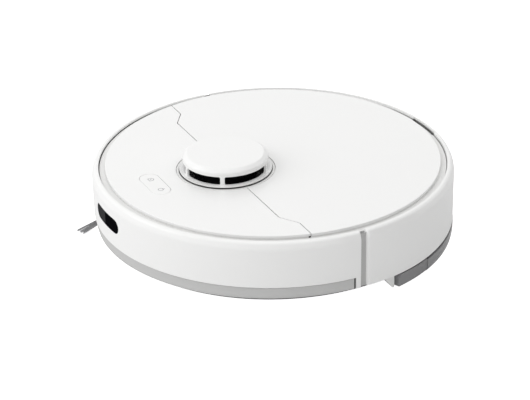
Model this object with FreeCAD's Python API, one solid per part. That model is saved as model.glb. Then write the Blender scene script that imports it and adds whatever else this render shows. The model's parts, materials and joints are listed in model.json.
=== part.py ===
import FreeCAD, Part
import math
import os

# Robot vacuum with a rear water tank and a laser turret.
# Millimetres, +Z up, origin on the floor under the middle of the round body.
# The front, where the bumper is, faces -Y. Angles called "bearing" run from the
# front (0) towards the machine's left, +X (90), to the rear (180).

V = FreeCAD.Vector
ORIGIN = V(0, 0, 0)
UP = V(0, 0, 1)

# ---- driving dimensions -------------------------------------------------
BODY_R = 175.0            # outside of the round body
PANEL_TOP = 79.0          # height of the flat top
RIM_WIDTH = 13.0          # from the body's outside in to the top panel's edge
PANEL_T = 2.5             # thickness of the top panels
CREST_DROP = 1.5          # shell crest below the flat top
NOTCH_BEARINGS = (173.0, 187.0)   # finger notch for lifting the lid
LIP_WIDTH = 6.7           # shell lip, body outside to lip edge
SHELL_WALL = 2.4
SHELL_DRAFT = 0.5
TUB_GAP = 9.6             # body outside to the tub's side wall
TUB_WALL = 2.4
TUB_BOTTOM = 12.0         # ground clearance
TUB_FLAT = 27.0           # body outside to the edge of the flat floor
TUB_TURN = 11.0           # body outside to the turn up to the flange
TUB_TURN_Z = 2.5          # height of that turn above the floor
FLANGE_GAP = 3.6          # body outside to the tub's flange
FLANGE_LOW = 20.5
FLANGE_HIGH = 31.0
BUMPER_BOTTOM = 32.0
BUMPER_END = 91.3         # bearing of the bumper's two ends
SHELL_START = 93.5        # bearing where the rear shell starts
SHELL_BOTTOM = 21.0
FIT = 0.05                # radial gap of a running fit
SEAM = 0.3                # gap round a part that lifts or presses

TURRET_Y = -50.0          # the turret stands ahead of the middle
TURRET_R = 41.0
TURRET_SKIRT = 3.5        # turret side to the edge of its skirt
TURRET_GAP = 3.2          # skirt edge to the hole in the top
TURRET_TOP = PANEL_TOP + 17.5
TURRET_WALL = 2.0
WINDOW_LOW = PANEL_TOP + 2.0
WINDOW_HIGH = PANEL_TOP + 10.5
POST_BEARINGS = (0.0, 61.0, 137.5, 222.5, 299.0)
POST_WIDTH = 6.0          # degrees
DRUM_R = 30.0
TURNTABLE_R = 26.0
LIDAR_MOTOR_BEARING = -51.0
LIDAR_MOTOR_GAP = 6.34    # turret hole to the motor's axis
LIDAR_PULLEY_R = 4.0
BELT_T = 0.9

SPLIT_Y = -49.7           # lid line between the jogs
SPLIT_OUTER_Y = -38.0     # lid line outside the jogs
JOG_IN = 115.7
JOG_OUT = 134.0
SPLIT_GAP = 1.0
HINGE_Y = -44.0
HINGE_DROP = 1.4          # hinge axis below the flat top
HINGE_PIN_R = 0.75
HINGE_X = (113.0, 136.5)

KEY_Y = -123.6
KEY_LENGTH = 46.0
KEY_WIDTH = 18.7
KEY_T = 2.7

EYE_LOW = 47.3            # bumper window
EYE_HIGH = 62.0
EYE_HALF = 25.6

WHEEL_R = 35.0
WHEEL_X = 115.0
WHEEL_HALF = 10.0
HUB_R = 24.0
ARM_PIVOT = (-46.0, 40.0)
ARM_X = (89.0, 103.0)
ARM_R = 22.0
ARM_PIVOT_R = 9.0
PIVOT_PIN_R = 2.5
SHAFT_R = 3.0
FRAME_WALL = 1.6
WHEEL_GAP = 2.0           # tyre to the arch over it
WELL_FRONT = -45.0        # front of the wheel well, clear of the dropped wheel
ARM_GAP = 1.4             # arm to its box, ahead of the pivot
ARM_SWING = 3.4           # arm to its box, behind

CASTER_Y = -128.0
CASTER_TRAIL = 8.0
CASTER_R = 14.0
CASTER_HALF = 7.0
CASTER_POCKET_R = 24.0

SIDE_BRUSH_BEARING = -40.0
SIDE_BRUSH_INSET = 21.0   # body outside to the side brush's pivot
SIDE_BRUSH_ARM = 58.8
SIDE_BRUSH_FIRST = -71.0  # direction of the first arm, from +X

BRUSH_Y = 38.0
BRUSH_Z = 22.0
BRUSH_R = 16.5
BRUSH_HALF = 80.0
BRUSH_CORE_R = 9.0
BRUSH_GAP = 2.5           # brush to the housing round it
GUARD_HALF = 26.0         # guard's reach ahead of and behind the brush
GUARD_T = 2.5
GUARD_END_GAP = 0.8       # guard's ends to the wheel arms that drop past them
GUARD_RIBS = (-50.0, -17.0, 17.0, 50.0)

BATTERY = (72.0, -98.0, -22.0, 14.6, 36.0)    # half width, front, rear, low, high
BIN_HALF = 68.0
BIN_FRONT = 65.5
BIN_LOW = 26.0
BIN_WALL = 1.8
FAN_R = 28.0
FAN_BEARING = -132.0
FAN_TOP = 54.0
EXHAUST_LOW = 36.0        # outlet in the rear shell
EXHAUST_HIGH = 58.0
EXHAUST_SPREAD = 6.5      # degrees each side of the fan's bearing
BOARD_Z = 44.0
BOARD_T = 1.6
SPEAKER = (100.0, 90.0, 20.0)

TANK_LOW = 5.0
TANK_HIGH = 20.3
TANK_SIDE_Y = 45.0
TANK_MID_Y = 68.0
TANK_WALL = 2.0
TANK_GAP = 1.0
CLIP_BEARINGS = (104.5, 119.8)
CLIP_T = 8.0
CLIP_TRAVEL = 3.0
PAD_T = 2.4
PAD_FRONT_Y = 86.0

# ---- sizes that follow --------------------------------------------------
PANEL_R = BODY_R - RIM_WIDTH
PANEL_LOW = PANEL_TOP - PANEL_T
CREST_Z = PANEL_TOP - CREST_DROP
LIP_R = BODY_R - LIP_WIDTH
SHELL_IN = BODY_R - SHELL_WALL
TUB_R = BODY_R - TUB_GAP
TUB_IN = TUB_R - TUB_WALL
FLANGE_R = BODY_R - FLANGE_GAP
DECK_TOP = PANEL_TOP - 8.0
DECK_T = 2.5
DECK_LOW = DECK_TOP - DECK_T
GUTTER_TOP = CREST_Z - 2.5
RAISED_LOW = TANK_HIGH + TANK_GAP
RAISED_TOP = RAISED_LOW + TUB_WALL
FLOOR_TOP = TUB_BOTTOM + TUB_WALL
HINGE_Z = PANEL_TOP - HINGE_DROP
TURRET_SKIRT_R = TURRET_R + TURRET_SKIRT
TURRET_HOLE_R = TURRET_SKIRT_R + TURRET_GAP
ARCH_R = WHEEL_R + WHEEL_GAP
BRUSH_ROOM = BRUSH_R + BRUSH_GAP
GUARD_TOP = TUB_BOTTOM - 0.1
CASTER_ROOF = 2 * CASTER_R + 8.0
BIN_REAR = math.sqrt((TUB_IN - 2.5) ** 2 - BIN_HALF ** 2)
TANK_R = BODY_R - 0.4


def at_bearing(radius, bearing, z=0.0):
    angle = math.radians(bearing)
    return V(radius * math.sin(angle), -radius * math.cos(angle), z)


def outline(corners, place):
    """Closed wire through (a, b) or (a, b, radius) corners, rounded where a radius is given."""
    ends = []
    for i, corner in enumerate(corners):
        here = V(corner[0], corner[1], 0)
        radius = corner[2] if len(corner) > 2 else 0.0
        if radius == 0.0:
            ends.append((here, None, here))
            continue
        back = corners[i - 1]
        ahead = corners[(i + 1) % len(corners)]
        to_back = V(back[0], back[1], 0) - here
        to_ahead = V(ahead[0], ahead[1], 0) - here
        half = to_back.getAngle(to_ahead) / 2
        to_back.normalize()
        to_ahead.normalize()
        inward = to_back + to_ahead
        inward.normalize()
        reach = radius / math.tan(half)
        middle = here + inward * (radius / math.sin(half) - radius)
        ends.append((here + to_back * reach, middle, here + to_ahead * reach))
    edges = []
    for i, (start, middle, end) in enumerate(ends):
        if middle is not None:
            edges.append(Part.Arc(place(start), place(middle), place(end)).toShape())
        after = ends[(i + 1) % len(ends)][0]
        if end.distanceToPoint(after) > 1e-6:
            edges.append(Part.LineSegment(place(end), place(after)).toShape())
    return Part.Wire(edges)


def outward(shape):
    """The same solid with its volume counted positive."""
    if shape.Volume < 0:
        shape = shape.copy()
        shape.reverse()
    return shape


def ring(corners, start=0.0, end=360.0):
    """Profile in (radius, z) turned about Z between two bearings."""
    face = Part.Face(outline(corners, lambda p: V(p.x, 0, p.y)))
    solid = face.revolve(ORIGIN, UP, end - start)
    solid.rotate(ORIGIN, UP, start - 90.0)
    return outward(solid)


def band(r0, r1, z0, z1, start=0.0, end=360.0):
    return ring([(r0, z0), (r1, z0), (r1, z1), (r0, z1)], start, end)


def slab(corners, z0, z1):
    face = Part.Face(outline(corners, lambda p: V(p.x, p.y, z0)))
    return outward(face.extrude(V(0, 0, z1 - z0)))


def slab_x(corners, x0, x1):
    face = Part.Face(outline(corners, lambda p: V(x0, p.x, p.y)))
    return outward(face.extrude(V(x1 - x0, 0, 0)))


def slab_y(corners, y0, y1):
    face = Part.Face(outline(corners, lambda p: V(p.x, y0, p.y)))
    return outward(face.extrude(V(0, y1 - y0, 0)))


def box(x0, x1, y0, y1, z0, z1):
    return Part.makeBox(x1 - x0, y1 - y0, z1 - z0, V(x0, y0, z0))


def rod(x, y, radius, z0, z1):
    return Part.makeCylinder(radius, z1 - z0, V(x, y, z0), UP)


def rod_x(y, z, radius, x0, x1):
    return Part.makeCylinder(radius, x1 - x0, V(x0, y, z), V(1, 0, 0))


def rod_y(x, z, radius, y0, y1):
    return Part.makeCylinder(radius, y1 - y0, V(x, y0, z), V(0, 1, 0))


def stadium(length, width, grow=0.0):
    a = length / 2 + grow
    b = width / 2 + grow
    r = b - 0.001
    return [(-a, -b, r), (a, -b, r), (a, b, r), (-a, b, r)]


def hull_of_two(c0, r0, c1, r1):
    """Outline of two circles and their outer tangents, as corners for a slab."""
    run = V(c1[0] - c0[0], c1[1] - c0[1], 0)
    heading = math.atan2(run.y, run.x)
    lean = math.acos((r0 - r1) / run.Length)
    points = []
    for centre, radius, side in ((c0, r0, -1), (c1, r1, -1), (c1, r1, 1), (c0, r0, 1)):
        angle = heading + side * lean
        points.append((centre[0] + radius * math.cos(angle), centre[1] + radius * math.sin(angle)))
    return points


def mirrored(shape):
    return shape.mirror(ORIGIN, V(1, 0, 0))


def both_sides(shape):
    return [shape, mirrored(shape)]


def join(shapes):
    return shapes[0].fuse(shapes[1:]).removeSplitter()


def save(node, shape):
    for solid in shape.Solids:
        if not solid.isClosed() or not solid.isValid():
            print("CHECK", node)
    shape.exportStep("parts/%s.step" % node)
    low = shape.optimalBoundingBox()
    print("%-22s %2d solids  %9.0f mm3  x %.1f..%.1f  y %.1f..%.1f  z %.1f..%.1f" % (
        node, len(shape.Solids), shape.Volume,
        low.XMin, low.XMax, low.YMin, low.YMax, low.ZMin, low.ZMax))


# ---- the outside --------------------------------------------------------
def side_shell(bottom, start, end, inner, end_turn, soft, seat):
    """Side shell between two bearings: drafted wall, soft shoulder, inward lip and closed ends.

    inner is the end walls' inner radius, end_turn their thickness in degrees, soft the radius
    of the wall's lower and lip edges, and seat the height of an inward rib (0 for none).
    """
    under_lip = CREST_Z - 2.0
    foot = SHELL_IN - SHELL_DRAFT
    solid = ring([
        (BODY_R - SHELL_DRAFT, bottom, soft), (BODY_R, CREST_Z - 6.4, 8.0),
        (BODY_R - 2.6, CREST_Z, 3.6), (LIP_R, CREST_Z, soft), (LIP_R, under_lip),
        (inner, under_lip), (inner, bottom),
    ], start, end)
    hollow = [(inner - 2, bottom - 1), (foot, bottom - 1)]
    if seat > 0:
        hollow += [(foot, seat), (FLANGE_R + FIT, seat), (FLANGE_R + FIT, seat + 2.5), (foot, seat + 2.5)]
    hollow += [(SHELL_IN, CREST_Z - 8.0, 3.0), (BODY_R - SHELL_WALL - 2.2, under_lip, 1.5),
               (inner - 2, under_lip)]
    return solid.cut(ring(hollow, start + end_turn, end - end_turn))


def end_rounding(bearing, side, radius):
    """Tool that rounds a shell's upright outer end edge; side is +1 where the shell lies ahead."""
    corners = [(-1, -1), (radius + 0.5, -1), (radius + 0.5, 0), (0, 0, radius),
               (0, radius + 0.5), (-1, radius + 0.5)]
    if side < 0:
        corners = [(-a[0], a[1], *a[2:]) for a in reversed(corners)]
    tool = slab([(a[0], a[1] - BODY_R, *a[2:]) for a in corners], 0, PANEL_TOP)
    tool.rotate(ORIGIN, UP, bearing)
    return tool


def bumper_eye(grow, r0, r1):
    """The stadium of the bumper window, cut through the wall between two radii."""
    wide = 2 * EYE_HALF
    tall = EYE_HIGH - EYE_LOW
    corners = [(a, b + (EYE_HIGH + EYE_LOW) / 2, r) for a, b, r in stadium(wide, tall, grow)]
    return slab_y(corners, -BODY_R - 5, -BODY_R + 20).common(band(r0, r1, EYE_LOW - 5, EYE_HIGH + 5))


def make_bumper():
    shell = side_shell(BUMPER_BOTTOM, -BUMPER_END, BUMPER_END, LIP_R + 0.9, 0.8, 0.6, 0)
    legs = []
    for start, end in ((BUMPER_END - 1.5, BUMPER_END), (-BUMPER_END, 1.5 - BUMPER_END)):
        legs.append(band(SHELL_IN, BODY_R - SHELL_DRAFT, FLANGE_LOW, BUMPER_BOTTOM + 1.0, start, end))
    shell = join([shell] + legs)
    shell = shell.cut([end_rounding(BUMPER_END, -1, 1.0), end_rounding(-BUMPER_END, 1, 1.0)])
    save("bumper", shell.cut(bumper_eye(0.0, SHELL_IN - 5, BODY_R + 5)))
    save("bumper_window", bumper_eye(-FIT, SHELL_IN - 0.3, BODY_R - 0.35))


def exhaust_at(grow, r0, r1):
    """The outlet's shape between two radii, at the fan's bearing."""
    spread = EXHAUST_SPREAD + grow * 0.33
    return band(r0, r1, EXHAUST_LOW - grow, EXHAUST_HIGH + grow, FAN_BEARING - spread, FAN_BEARING + spread)


def make_rear_shell():
    far_end = 360.0 - SHELL_START
    shell = side_shell(SHELL_BOTTOM, SHELL_START, far_end, LIP_R - 0.3, 1.0, 0.0, SHELL_BOTTOM + 1.5)
    shell = shell.cut(band(0, FLANGE_R + FIT, 0, FLANGE_HIGH + 0.5))
    shell = shell.cut([end_rounding(SHELL_START, 1, 4.0), end_rounding(far_end, -1, 4.0)])
    shell = shell.cut(exhaust_at(FIT, SHELL_IN - 5, BODY_R + 5))
    notch = band(LIP_R - 1.0, LIP_R + 0.9, CREST_Z - 3.0, CREST_Z + 1.0, *NOTCH_BEARINGS)
    save("rear_shell", shell.cut(notch))
    grille = exhaust_at(0.0, SHELL_IN, BODY_R - 0.4)
    slot_count = 5
    pitch = (EXHAUST_HIGH - EXHAUST_LOW - 1.5) / slot_count
    slots = []
    for i in range(slot_count):
        low = EXHAUST_LOW + 2.2 + pitch * i
        slots.append(band(SHELL_IN - 1, BODY_R + 1, low, low + 2.2,
                          FAN_BEARING - EXHAUST_SPREAD + 0.9, FAN_BEARING + EXHAUST_SPREAD - 0.9))
    save("exhaust_grille", grille.cut(slots))


def lid_line(shift):
    """The lid line, as corners from -X to +X, moved along Y by shift."""
    far = BODY_R + 10
    return [
        (-far, SPLIT_OUTER_Y + shift), (-JOG_OUT, SPLIT_OUTER_Y + shift, 3.0),
        (-JOG_IN, SPLIT_Y + shift, 5.0), (JOG_IN, SPLIT_Y + shift, 5.0),
        (JOG_OUT, SPLIT_OUTER_Y + shift, 3.0), (far, SPLIT_OUTER_Y + shift),
    ]


def top_disc():
    return ring([(0, PANEL_LOW), (PANEL_R, PANEL_LOW), (PANEL_R, PANEL_TOP, 0.8), (0, PANEL_TOP)])


def make_front_panel():
    far = BODY_R + 10
    zone = slab(lid_line(-SPLIT_GAP / 2) + [(far, -far), (-far, -far)], PANEL_LOW - 5, PANEL_TOP + 5)
    panel = top_disc().common(zone)
    rib = band(PANEL_R - 8.0, PANEL_R - 6.0, DECK_TOP, PANEL_LOW + 0.5, -68.0, 68.0)
    boss = []
    for side in both_sides(rod_x(HINGE_Y, HINGE_Z, HINGE_PIN_R + 0.95, HINGE_X[1] - 9.5, HINGE_X[1] + 1.0)):
        boss.append(side.common(box(-far, far, HINGE_Y - 9, HINGE_Y + 9, 0, PANEL_TOP)))
    hooks = []
    for y in (KEY_Y - KEY_WIDTH / 2 - 3.2, KEY_Y + KEY_WIDTH / 2 + 0.9):
        hooks.append(box(-2.0, 2.0, y, y + 2.3, PANEL_LOW - 3.0, PANEL_LOW + 0.5))
    panel = join([panel, rib] + boss + hooks)
    cuts = [rod(0, TURRET_Y, TURRET_HOLE_R, PANEL_LOW - 9, PANEL_TOP + 9)]
    key_hole = [(a, b + KEY_Y, r) for a, b, r in stadium(KEY_LENGTH, KEY_WIDTH, SEAM)]
    cuts.append(slab(key_hole, PANEL_LOW - 1, PANEL_TOP + 1))
    cuts.append(rod_y(0, PANEL_LOW - 1.3, 0.8 + FIT, KEY_Y - 20, KEY_Y + 20))
    pin = rod_x(HINGE_Y, HINGE_Z, HINGE_PIN_R, HINGE_X[0], HINGE_X[1])
    relief = rod_x(HINGE_Y, HINGE_Z, HINGE_DROP + 0.35, JOG_IN + 4, HINGE_X[1] - 9.5)
    cuts += both_sides(pin) + both_sides(relief)
    save("front_panel", panel.cut(cuts))
    pins = both_sides(pin)
    save("lid_hinge_pins", Part.makeCompound(pins))


def make_lid():
    far = BODY_R + 10
    zone = slab(lid_line(SPLIT_GAP / 2) + [(far, far), (-far, far)], PANEL_LOW - 5, PANEL_TOP + 5)
    lid = top_disc().common(zone)
    rib = band(PANEL_R - 10.0, PANEL_R - 8.0, PANEL_LOW - 1.9, PANEL_LOW + 0.5, 112.0, 248.0)
    sockets = both_sides(box(HINGE_X[0] - 0.5, JOG_IN + 5.0, HINGE_Y - 2.4, HINGE_Y + 2.4,
                             HINGE_Z - 2.0, PANEL_LOW + 0.5))
    lid = join([lid, rib] + sockets)
    holes = both_sides(rod_x(HINGE_Y, HINGE_Z, HINGE_PIN_R + FIT, HINGE_X[0] - 0.2, JOG_IN + 20))
    save("lid", lid.cut(holes + [rod(0, TURRET_Y, TURRET_HOLE_R, PANEL_LOW - 9, PANEL_TOP + 9)]))


def make_rim_ring():
    inner = PANEL_R - 4.0
    rim = ring([(inner, GUTTER_TOP - 2), (LIP_R - 0.8, GUTTER_TOP - 2), (LIP_R - 0.8, GUTTER_TOP),
                (PANEL_R - 0.4, GUTTER_TOP), (PANEL_R - 0.4, PANEL_LOW - 0.1), (inner, PANEL_LOW - 0.1)])
    wall = band(TUB_IN, TUB_R, DECK_TOP, GUTTER_TOP - 2)
    notch = band(PANEL_R + 0.5, LIP_R + 1, GUTTER_TOP - 1.2, PANEL_TOP, *NOTCH_BEARINGS)
    save("rim_ring", join([rim, wall]).cut(notch))


def make_skirt():
    """Soft strip round the front of the tub's flange, with rounded lower ends."""
    end = 89.3
    strip = ring([(FLANGE_R, FLANGE_LOW), (FLANGE_R + 0.8, FLANGE_LOW, 0.3), (FLANGE_R + 1.3, 22.5, 1.0),
                  (FLANGE_R + 1.3, FLANGE_HIGH, 0.5), (FLANGE_R, FLANGE_HIGH)], -end, end)
    save("skirt_strip", strip)


# ---- chassis and deck ---------------------------------------------------
def tub_outside():
    return ring([(0, TUB_BOTTOM), (BODY_R - TUB_FLAT, TUB_BOTTOM), (BODY_R - TUB_TURN, TUB_BOTTOM + TUB_TURN_Z),
                 (FLANGE_R, FLANGE_LOW), (FLANGE_R, FLANGE_HIGH), (TUB_R, FLANGE_HIGH),
                 (TUB_R, DECK_LOW), (0, DECK_LOW)])


def tank_zone(grow, z0, z1):
    """The space of the tank module: everything behind a line with a step at each side."""
    far = BODY_R + 25
    side = TANK_SIDE_Y - grow
    middle = TANK_MID_Y - grow
    return slab([(-far, side), (-150, side, 4.0), (-128, middle, 4.0), (128, middle, 4.0),
                 (150, side, 4.0), (far, side), (far, far), (-far, far)], z0, z1)


def floor_windows():
    """The four cliff windows, as blocks through the floor."""
    blocks = []
    for x, y in ((58.0, -126.0), (121.0, -68.0)):
        blocks += both_sides(box(x - 7, x + 7, y - 4, y + 4, TUB_BOTTOM, FLOOR_TOP))
    return blocks


def contact_plates(low, high):
    return both_sides(box(34.0, 48.0, -BODY_R + 33, -BODY_R + 41, low, high))


def screw_places():
    places = []
    for bearing in (-75.0, -32.0, 32.0, 75.0):
        places.append(at_bearing(BODY_R - 30, bearing))
    for x, y in ((95.0, 52.0), (-95.0, 52.0), (70.0, -106.0), (-70.0, -14.0)):
        places.append(V(x, y, 0))
    return places


def side_brush_pivot():
    return at_bearing(BODY_R - SIDE_BRUSH_INSET, SIDE_BRUSH_BEARING)


def wheel_rooms():
    """Plans (x0, x1, y0, y1) of the spaces that the left arm and the left wheel move in."""
    x0, x1 = ARM_X
    arm = (x0 - 2.9, x1 + 1.0, ARM_PIVOT[0] - ARM_PIVOT_R - ARM_GAP, ARM_R + ARM_SWING)
    wheel = (x1 + 1.6, WHEEL_X + WHEEL_HALF + 1.4, WELL_FRONT, ARCH_R)
    return arm, wheel


def make_chassis():
    above = FLOOR_TOP + 3
    inner = [(0, FLOOR_TOP), (BODY_R - TUB_FLAT - 0.4, FLOOR_TOP),
             (BODY_R - TUB_TURN - 0.8, FLOOR_TOP + TUB_TURN_Z - 0.1),
             (FLANGE_R - TUB_WALL, FLANGE_LOW + 1.3), (FLANGE_R - TUB_WALL, FLANGE_HIGH - TUB_WALL),
             (TUB_IN, FLANGE_HIGH - TUB_WALL), (TUB_IN, DECK_LOW + 1), (0, DECK_LOW + 1)]
    tub = tub_outside().cut(ring(inner))
    tub = tub.cut(tank_zone(TANK_GAP + TUB_WALL, 0, RAISED_TOP))
    raised = tub_outside().common(tank_zone(TANK_GAP + TUB_WALL, 0, RAISED_TOP))
    raised = raised.cut(tank_zone(TANK_GAP, 0, RAISED_LOW))
    pocket = rod(0, CASTER_Y, CASTER_POCKET_R + 2.0, TUB_BOTTOM, CASTER_ROOF)
    tub = join([tub, raised, pocket])
    half, front, rear, low, high = BATTERY
    pivot = side_brush_pivot()
    arm_plan, wheel_plan = wheel_rooms()
    arm_hole = box(arm_plan[0], arm_plan[1] + 1.0, arm_plan[2], arm_plan[3], 0, above)
    wheel_hole = box(wheel_plan[0] - 0.3, wheel_plan[1], wheel_plan[2], wheel_plan[3] + 0.3, 0, above)
    cuts = both_sides(arm_hole) + both_sides(wheel_hole)
    cuts.append(box(-BRUSH_HALF - 2, BRUSH_HALF + 2, BRUSH_Y - BRUSH_ROOM, BRUSH_Y + BRUSH_ROOM, 0, above))
    cuts.append(box(-half - 2, half + 2, front - 2, rear + 2, 0, above))
    cuts.append(rod(0, CASTER_Y, CASTER_POCKET_R, 0, CASTER_ROOF - 2.6))
    cuts.append(rod(0, CASTER_Y, SHAFT_R + FIT, 0, CASTER_ROOF + 5))
    cuts.append(rod(pivot.x, pivot.y, 4.0, 0, FLOOR_TOP + 5))
    cuts += floor_windows()
    cuts += contact_plates(0, above)
    cuts += [rod(p.x, p.y, 3.2, 0, TUB_BOTTOM + 1.4) for p in screw_places()]
    cuts.append(exhaust_at(-1.0, TUB_IN - 12, TUB_R + 5))
    save("chassis", tub.cut(cuts))
    make_floor_fittings()


def make_floor_fittings():
    """Screws, cliff windows, charging contacts and the two guides ahead of the tank."""
    heads = []
    for p in screw_places():
        head = rod(p.x, p.y, 3.1, TUB_BOTTOM + 0.2, TUB_BOTTOM + 1.4)
        drive = [box(p.x - 1.7, p.x + 1.7, p.y - 0.35, p.y + 0.35, 0, TUB_BOTTOM + 0.9),
                 box(p.x - 0.35, p.x + 0.35, p.y - 1.7, p.y + 1.7, 0, TUB_BOTTOM + 0.9)]
        heads.append(head.cut(drive))
    save("chassis_screws", Part.makeCompound(heads))
    save("cliff_windows", Part.makeCompound([w.common(tub_outside()) for w in floor_windows()]))
    save("charging_contacts", Part.makeCompound(contact_plates(TUB_BOTTOM - 0.4, FLOOR_TOP)))
    rear = TANK_SIDE_Y - 3.0
    front = rear - 10.5
    foot = TANK_LOW + 3.7
    wedge = slab_x([(rear, SHELL_BOTTOM), (rear, foot, 1.0), (rear - 2.0, foot, 1.0), (front, SHELL_BOTTOM - 1),
                    (front, SHELL_BOTTOM)], BODY_R - TUB_FLAT, BODY_R)
    wedge = wedge.common(band(BODY_R - 24, BODY_R - 1.5, 0, SHELL_BOTTOM - 0.2)).cut(tub_outside())
    save("tank_guides", Part.makeCompound(both_sides(max(wedge.Solids, key=lambda s: s.Volume))))


def make_deck():
    deck = rod(0, 0, TUB_R, DECK_LOW, DECK_TOP)
    arch = box(ARM_X[1] - 1.5, WHEEL_X + WHEEL_HALF + 3.5, -ARCH_R - 3.0, ARCH_R + 3.0, 0, PANEL_TOP)
    motor = lidar_motor_axis()
    cuts = both_sides(arch)
    cuts.append(box(-BIN_HALF - 2, BIN_HALF + 2, BIN_FRONT - 2, BIN_REAR + 1.5, 0, PANEL_TOP))
    cuts.append(rod(motor.x, motor.y, 12.3, 0, PANEL_TOP))
    save("inner_deck", deck.cut(cuts))


# ---- turret -------------------------------------------------------------
def lidar_motor_axis():
    return V(0, TURRET_Y, 0) + at_bearing(TURRET_HOLE_R + LIDAR_MOTOR_GAP, LIDAR_MOTOR_BEARING)


def turn_at_turret(shape):
    """Moves a shape made round the origin to the turret."""
    shape.translate(V(0, TURRET_Y, 0))
    return shape


def make_lidar_cover():
    inner = TURRET_R - TURRET_WALL
    low = PANEL_TOP + 1.0
    cover = ring([(inner, low), (TURRET_SKIRT_R, low, 0.4), (TURRET_SKIRT_R, low + 0.8, 0.3),
                  (TURRET_R, WINDOW_LOW - 0.2, 0.8), (TURRET_R, TURRET_TOP - 3.4, 3.0),
                  (TURRET_R - 4.0, TURRET_TOP, 2.0), (0, TURRET_TOP), (0, TURRET_TOP - 2.4),
                  (inner - 3.0, TURRET_TOP - 2.4, 2.0), (inner, WINDOW_HIGH + 1.5)])
    cuts = []
    reach = 3.0
    for i, post in enumerate(POST_BEARINGS):
        start = post + POST_WIDTH / 2
        end = (POST_BEARINGS[i + 1] if i + 1 < len(POST_BEARINGS) else 360.0) - POST_WIDTH / 2
        tool = band(inner - reach, TURRET_R + reach, WINDOW_LOW, WINDOW_HIGH, start, end)
        radial = [e for e in tool.Edges if abs(e.Length - TURRET_WALL - 2 * reach) < 0.01]
        cuts.append(tool.makeFillet(1.6, radial))
    save("lidar_cover", turn_at_turret(cover.cut(cuts)))


def make_turret():
    make_lidar_cover()
    ring_out = TURRET_HOLE_R - SEAM
    base_top = DECK_TOP + 1.2
    base = join([band(0, ring_out, DECK_TOP, base_top),
                 band(ring_out - 1.5, ring_out, DECK_TOP, PANEL_TOP - 0.8),
                 rod(0, 0, 6.0, DECK_TOP, PANEL_TOP - 1.5)])
    mouth = box(ring_out - 8, ring_out + 4, -30.0, 30.0, base_top, PANEL_LOW - 0.4)
    mouth.rotate(ORIGIN, UP, LIDAR_MOTOR_BEARING - 90.0)
    save("lidar_base", turn_at_turret(base.cut(mouth)))

    belt_low = DECK_TOP + 2.0
    belt_high = DECK_TOP + 4.4
    drum_low = PANEL_TOP - 0.4
    table = join([band(6.0 + FIT, TURNTABLE_R, belt_low, belt_high),
                  band(6.0 + FIT, TURNTABLE_R + 1.4, belt_high, belt_high + 0.8),
                  band(6.0 + FIT, DRUM_R, belt_high + 0.8, drum_low)])
    save("lidar_turntable", turn_at_turret(table))
    drum_top = WINDOW_HIGH + 0.6
    drum = band(0, DRUM_R, drum_low, drum_top)
    drum = drum.makeFillet(1.2, [e for e in drum.Edges if abs(e.BoundBox.ZMin - drum_top) < 0.01])
    flat_y = -DRUM_R + 2.2
    drum = drum.cut(box(-18, 18, -DRUM_R - 5, flat_y, WINDOW_LOW - 0.6, WINDOW_HIGH - 0.4))
    lenses = both_sides(box(3.0, 14.5, flat_y, flat_y + 1.2, WINDOW_LOW, WINDOW_HIGH - 1.0))
    drum = drum.cut(lenses)
    optics = Part.makeCompound(lenses)
    for shape in (drum, optics):
        shape.rotate(ORIGIN, UP, -25.0)
    save("lidar_drum", turn_at_turret(drum))
    save("lidar_lenses", turn_at_turret(optics))
    make_lidar_drive(belt_low, belt_high)


def make_lidar_drive(belt_low, belt_high):
    """Motor, pulley and the flat belt that runs round the pulley and the turntable."""
    axis = lidar_motor_axis()
    save("lidar_motor", join([rod(axis.x, axis.y, 12.0, DECK_TOP - 21.0, DECK_TOP - 0.5),
                              rod(axis.x, axis.y, 3.0, DECK_TOP - 0.5, DECK_TOP + 0.7),
                              rod(axis.x, axis.y, 1.0, DECK_TOP - 2.0, belt_high + 0.5)]))
    pulley = rod(axis.x, axis.y, LIDAR_PULLEY_R, DECK_TOP + 1.0, belt_high)
    save("lidar_pulley", pulley.cut(rod(axis.x, axis.y, 1.0 + FIT, DECK_TOP, PANEL_TOP)))
    turn = (0, TURRET_Y)
    far = (axis.x, axis.y)
    loops = []
    for grow, z0, z1 in ((FIT + BELT_T, belt_low + 0.3, belt_high - 0.2), (FIT, 0, PANEL_TOP)):
        loops.append(join([slab(hull_of_two(turn, TURNTABLE_R + grow, far, LIDAR_PULLEY_R + grow), z0, z1),
                           rod(*turn, TURNTABLE_R + grow, z0, z1),
                           rod(*far, LIDAR_PULLEY_R + grow, z0, z1)]))
    save("lidar_belt", loops[0].cut(loops[1]))


def make_key():
    corners = [(a, b + KEY_Y, r) for a, b, r in stadium(KEY_LENGTH, KEY_WIDTH)]
    key = slab(corners, PANEL_TOP + 0.1 - KEY_T, PANEL_TOP + 0.1)
    key = key.makeFillet(0.4, [e for e in key.Edges if abs(e.BoundBox.ZMin - PANEL_TOP - 0.1) < 0.01])
    pivot_z = PANEL_LOW - 1.3
    trunnion = rod_y(0, pivot_z, 0.8, KEY_Y - KEY_WIDTH / 2 - 2.8, KEY_Y + KEY_WIDTH / 2 + 2.8)
    web = box(-0.8, 0.8, KEY_Y - KEY_WIDTH / 2 + 1, KEY_Y + KEY_WIDTH / 2 - 1, pivot_z, PANEL_LOW + 0.5)
    feet = [rod(x, KEY_Y, 1.5, PANEL_LOW - 2.2, PANEL_LOW + 0.5) for x in (-11.8, 11.8)]
    save("power_key", join([key, trunnion, web] + feet))


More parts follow.
